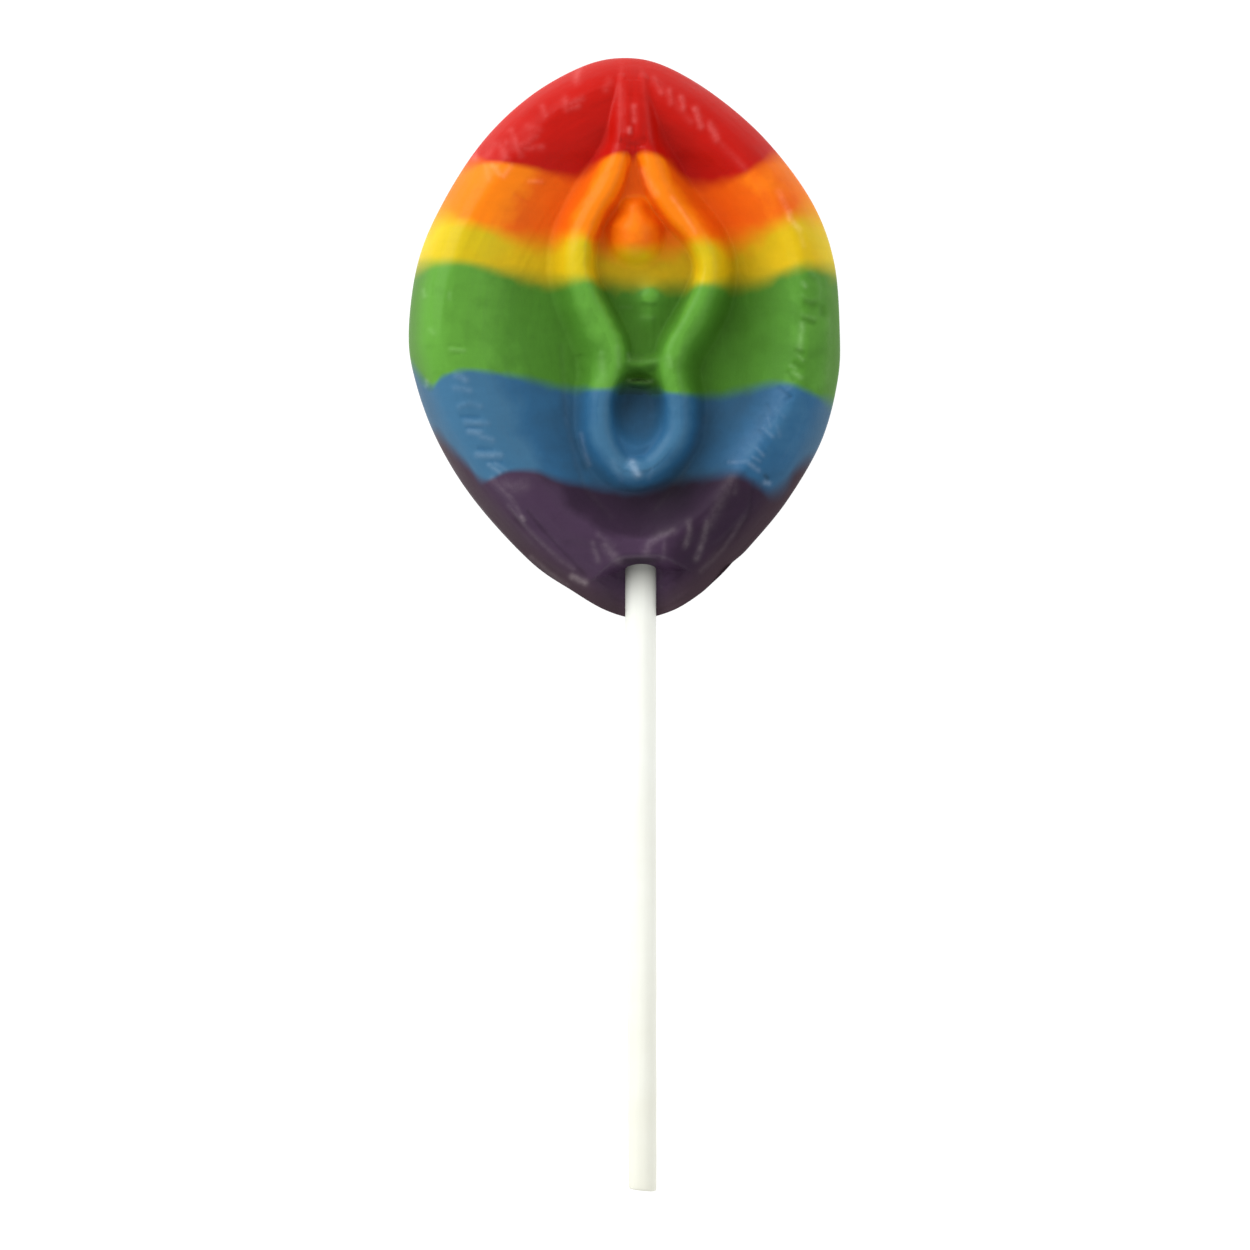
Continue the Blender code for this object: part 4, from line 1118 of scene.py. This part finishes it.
def add_noise(tree, place, scale, detail=2.0, roughness=0.5, stretch=None):
    """A noise value between 0 and 1, about 0.5."""
    if stretch:
        place = add_node(tree, "ShaderNodeMapping", {"Vector": place, "Scale": stretch}).outputs[0]
    inputs = {"Vector": place, "Scale": scale, "Detail": detail, "Roughness": roughness}
    return add_node(tree, "ShaderNodeTexNoise", inputs).outputs["Fac"]


def add_span(tree, value, low, high, to_low, to_high):
    """A value moved from one span to another, and kept inside it."""
    node = add_node(tree, "ShaderNodeMapRange", {
        "Value": value, "From Min": low, "From Max": high, "To Min": to_low, "To Max": to_high})
    return node.outputs[0]


def spread(tree, noise, low, high):
    """A noise value moved from the span where most of it lies to another."""
    return add_span(tree, noise, *NOISE_SPAN, low, high)


def shift_tone(tree, tone, value, saturation=1.0):
    """A colour made lighter or darker, and more or less strong."""
    inputs = {"Saturation": saturation, "Value": value, "Color": tone}
    return add_node(tree, "ShaderNodeHueSaturation", inputs).outputs[0]


def add_bump(tree, socket, height, strength):
    """Fine unevenness of the surface, fed to a socket for its normal."""
    inputs = {"Height": height, "Strength": strength, "Distance": BUMP_DISTANCE}
    feed(tree, socket, add_node(tree, "ShaderNodeBump", inputs).outputs[0])


def read_mask(tree, name):
    """A value that the mesh keeps at each point."""
    return add_node(tree, "ShaderNodeAttribute", attribute_name=name).outputs["Fac"]


def new_group(name, inputs, outputs):
    """An empty node group, and its input and output nodes."""
    group = bpy.data.node_groups.new(name, "ShaderNodeTree")
    for in_out, sockets in (("INPUT", inputs), ("OUTPUT", outputs)):
        for label, kind in sockets.items():
            group.interface.new_socket(label, in_out=in_out, socket_type="NodeSocket" + kind)
    return group, group.nodes.new("NodeGroupInput"), group.nodes.new("NodeGroupOutput")


def sugar_tint_group():
    """Colour of one sugar by how proud, sunken or near the rim the place is: painted light on crests, painted
    shade in hollows and a painted sheen at the rim.
    """
    tones = dict.fromkeys(SUGAR_PLACES.values(), "Color")
    group, given, made = new_group("Sugar tint", tones, {"Colour": "Color"})
    cloud = spread(group, add_noise(group, add_place(group), *TINT_CLOUD), -TINT_SHIFT, TINT_SHIFT)
    painted_shade = add_math(group, "ADD", read_mask(group, "painted_shade"), cloud)
    first = add_span(group, painted_shade, *BODY_BAND, 0.0, 1.0)
    second = add_span(group, painted_shade, *HOLLOW_BAND, 0.0, 1.0)
    tone = add_mix(group, first, given.outputs["Crest"], given.outputs["Body"])
    tone = add_mix(group, second, tone, given.outputs["Painted hollow shade"])
    tone = add_mix(group, read_mask(group, "rim"), tone, given.outputs["Rim"])
    feed(group, made.inputs["Colour"], tone)
    return group


def sugar_joint_group():
    """A sugar's colour run into those of the layers above and below it."""
    tones = dict.fromkeys(("Own", "Above", "Below"), "Color")
    group, given, made = new_group("Sugar joint", tones, {"Colour": "Color"})
    tone = add_mix(group, read_mask(group, "above"), given.outputs["Own"], given.outputs["Above"])
    tone = add_mix(group, read_mask(group, "below"), tone, given.outputs["Below"])
    feed(group, made.inputs["Colour"], tone)
    return group


def sugar_finish_group():
    """Cloudiness, whitened marks that are partly painted glints, gloss and fine unevenness of cast sugar."""
    group, given, made = new_group(
        "Sugar finish", {"Colour": "Color", "Frost and glint": "Color", "Cloudiness": "Float"},
        {"Colour": "Color", "Roughness": "Float", "Normal": "Vector"})
    place = add_place(group)
    fine = add_noise(group, place, *FINE_CLOUD)
    slow = add_noise(group, place, *SLOW_CLOUD)
    streaks = add_noise(group, place, *STREAK_CLOUD)
    cloud = add_math(group, "ADD", spread(group, fine, -0.5, 0.5), spread(group, slow, -1, 1))
    cloud = add_math(group, "ADD", cloud, spread(group, streaks, -0.5, 0.5))
    value = add_math(group, "ADD", add_math(group, "MULTIPLY", cloud, given.outputs["Cloudiness"]), 1.0)
    tone = shift_tone(group, given.outputs["Colour"], value)
    patchy = add_span(group, fine, *FROST_AND_GLINT_SPAN, *FROST_AND_GLINT_PATCHES)
    frost_and_glint = add_math(group, "MULTIPLY", read_mask(group, "frost_and_glint"), patchy, True)
    light = add_mix(group, FROST_AND_GLINT_WHITE, shift_tone(group, tone, *FROST_AND_GLINT_TONE), given.outputs["Frost and glint"])
    feed(group, made.inputs["Colour"], add_mix(group, frost_and_glint, tone, light))
    rough = add_math(group, "MULTIPLY", frost_and_glint, FROST_AND_GLINT_ROUGH)
    rough = add_math(group, "ADD", rough, spread(group, slow, *SUGAR_ROUGH))
    rough = add_math(group, "ADD", rough, add_span(group, read_mask(group, "painted_shade"), *HOLLOW_ROUGH))
    rough = add_math(group, "ADD", rough, add_span(group, read_mask(group, "rim"), *RIM_ROUGH))
    feed(group, made.inputs["Roughness"], rough)
    grain = add_math(group, "MULTIPLY", add_noise(group, place, *SUGAR_GRAIN), GRAIN_SHARE)
    add_bump(group, made.inputs["Normal"], add_math(group, "ADD", fine, grain), 1.0)
    return group


def rgba(colour):
    """A colour with its alpha, as a socket takes it."""
    return (*colour, 1.0)


def new_material(name):
    """A material, its node tree and its shader."""
    material = bpy.data.materials.new(name)
    material.use_nodes = True
    return material, material.node_tree, material.node_tree.nodes["Principled BSDF"]


def sugar_material(number, groups, colours):
    """The material of one layer, which also knows its neighbours' colours."""
    tint_group, joint_group, finish_group = groups
    material, tree, shader = new_material("candy_" + LAYERS[number])
    tones = {}
    for label, step in (("Own", 0), ("Above", -1), ("Below", 1)):
        name = LAYERS[min(max(number + step, 0), len(LAYERS) - 1)]
        inputs = {place: rgba(getattr(colours, f"{name}_{field}")) for field, place in SUGAR_PLACES.items()}
        tones[label] = add_node(tree, "ShaderNodeGroup", inputs, node_tree=tint_group).outputs["Colour"]
    joint = add_node(tree, "ShaderNodeGroup", tones, node_tree=joint_group)
    inputs = {"Colour": joint.outputs["Colour"], "Frost and glint": rgba(colours.frost_and_glint), "Cloudiness": CLOUDINESS}
    finish = add_node(tree, "ShaderNodeGroup", inputs, node_tree=finish_group)
    for made, socket in (("Colour", "Base Color"), ("Roughness", "Roughness"), ("Normal", "Normal")):
        feed(tree, shader.inputs[socket], finish.outputs[made])
    shader.inputs["Specular IOR Level"].default_value = SUGAR_GLOSS
    return material


def stick_material(colours):
    """Rolled paper: long fibres, a painted shadow at its top, painted light across it and a slightly darker,
    yellower free end.
    """
    material, tree, shader = new_material("stick")
    place = add_place(tree)
    x, y, _ = add_node(tree, "ShaderNodeSeparateXYZ", {0: place}).outputs
    fibres = add_noise(tree, place, *PAPER_FIBRES)
    blotch = spread(tree, add_noise(tree, place, *PAPER_BLOTCH), -PAPER_SPOTS, PAPER_SPOTS)
    free_end_share = add_math(tree, "ADD", add_span(tree, y, *PAPER_FREE_END_TONE, 1.0, 0.0), blotch, True)
    tone = add_mix(tree, free_end_share, rgba(colours.stick), rgba(colours.stick_free_end))
    # A painted shadow at the top of the stick, where it goes under the candy's step.
    painted_shadow = add_span(tree, y, *PAPER_PAINTED_SHADOW)
    painted_shadow = add_math(tree, "SUBTRACT", 1.0, add_math(tree, "MULTIPLY", painted_shadow, painted_shadow))
    value = add_math(tree, "MULTIPLY", spread(tree, fibres, *FIBRE_VALUE), painted_shadow)
    # Painted light across the stick: darker on the left, where the lamp falls, and lighter on the shaded
    # right.
    value = add_math(tree, "MULTIPLY", value, add_span(tree, x, *PAPER_SIDE_PAINTED_LIGHT))
    feed(tree, shader.inputs["Base Color"], shift_tone(tree, tone, value))
    feed(tree, shader.inputs["Roughness"], spread(tree, fibres, *PAPER_ROUGH))
    add_bump(tree, shader.inputs["Normal"], fibres, PAPER_BUMP)
    shader.inputs["Specular IOR Level"].default_value = PAPER_GLOSS
    return material


def floor_material():
    """Even white card lit from within, so that it stays white under the lollipop."""
    material, tree, shader = new_material("floor")
    value = spread(tree, add_noise(tree, add_place(tree), FLOOR_CLOUD), *FLOOR_VALUE)
    feed(tree, shader.inputs["Base Color"], shift_tone(tree, rgba((FLOOR_SHADE,) * 3), value))
    shader.inputs["Roughness"].default_value = FLOOR_ROUGH
    shader.inputs["Specular IOR Level"].default_value = FLOOR_GLOSS
    shader.inputs["Emission Color"].default_value = WHITE
    shader.inputs["Emission Strength"].default_value = FLOOR_GLOW
    return material


# ---- operators ----
class LOLLIPOP_OT_pour_layers(bpy.types.Operator):
    """Make the six layers of coloured sugar"""
    bl_idname = "lollipop.pour_layers"
    bl_label = "Pour the layers"

    def execute(self, context):
        shape, colours = context.scene.lollipop_shape, context.scene.lollipop_colours
        groups = (sugar_tint_group(), sugar_joint_group(), sugar_finish_group())
        rim = Rim()
        joints = [None, *(Joint(name, rim) for name in SEAMS), None]
        for number, colour in enumerate(LAYERS):
            piece = make_layer(colour, joints[number], joints[number + 1], rim, shape)
            piece.data.materials.append(sugar_material(number, groups, colours))
            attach(piece, "root")
            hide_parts("layer_" + colour)
        return {"FINISHED"}


class LOLLIPOP_OT_roll_stick(bpy.types.Operator):
    """Make the rolled-paper stick"""
    bl_idname = "lollipop.roll_stick"
    bl_label = "Roll the stick"

    def execute(self, context):
        piece = make_stick()
        piece.data.materials.append(stick_material(context.scene.lollipop_colours))
        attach(piece, "root")
        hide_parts("stick")
        return {"FINISHED"}


class LOLLIPOP_OT_set_stage(bpy.types.Operator):
    """Add the floor, the lights and the camera"""
    bl_idname = "lollipop.set_stage"
    bl_label = "Set the stage"

    def execute(self, context):
        scene = context.scene
        scene.view_settings.view_transform = "Standard"
        floor = new_primitive(bpy.ops.mesh.primitive_plane_add, size=FLOOR_SIZE, location=(0, 0, -FLOOR_DROP))
        floor.name = "floor"
        bpy.ops.object.transform_apply(location=True)
        floor.data.materials.append(floor_material())
        world = bpy.data.worlds.new("studio")
        world.use_nodes = True
        background = world.node_tree.nodes["Background"]
        background.inputs["Color"].default_value = WHITE
        background.inputs["Strength"].default_value = WORLD_STRENGTH
        scene.world = world
        for name, place, size, power in LIGHTS:
            bpy.ops.object.light_add(type="AREA", location=place)
            light = bpy.context.object
            light.name = name
            light.data.shape = "DISK"
            light.data.size = size
            light.data.energy = power
            light.rotation_euler = (Vector(HEAD_AIM) - Vector(place)).to_track_quat("-Z", "Y").to_euler()
        bpy.ops.object.camera_add(location=(0, 0, CAMERA_HEIGHT), rotation=(0, 0, 0))
        camera = bpy.context.object
        camera.data.sensor_width = SENSOR
        camera.data.lens = SENSOR * (CAMERA_HEIGHT - VIEW_LEVEL) / VIEW_WIDTH
        camera.data.clip_start, camera.data.clip_end = VIEW_CLIP
        scene.camera = camera
        return {"FINISHED"}


class LOLLIPOP_PT_panel(bpy.types.Panel):
    """Lists the sizes, the colours and the steps"""
    bl_label = "Lollipop"
    bl_idname = "LOLLIPOP_PT_panel"
    bl_space_type = "VIEW_3D"
    bl_region_type = "UI"
    bl_category = "Lollipop"

    def draw(self, context):
        for group in (context.scene.lollipop_shape, context.scene.lollipop_colours):
            for name in group.__annotations__:
                self.layout.prop(group, name)
        for operator in OPERATORS:
            self.layout.operator(operator.bl_idname)


OPERATORS = (LOLLIPOP_OT_pour_layers, LOLLIPOP_OT_roll_stick, LOLLIPOP_OT_set_stage)
CLASSES = (LollipopShape, LollipopColours, *OPERATORS, LOLLIPOP_PT_panel)


def register():
    for item in CLASSES:
        bpy.utils.register_class(item)
    bpy.types.Scene.lollipop_shape = PointerProperty(type=LollipopShape)
    bpy.types.Scene.lollipop_colours = PointerProperty(type=LollipopColours)


def unregister():
    del bpy.types.Scene.lollipop_colours
    del bpy.types.Scene.lollipop_shape
    for item in reversed(CLASSES):
        bpy.utils.unregister_class(item)


def main():
    register()
    bpy.ops.lollipop.pour_layers()
    bpy.ops.lollipop.roll_stick()
    bpy.ops.lollipop.set_stage()


if __name__ == "__main__":
    main()
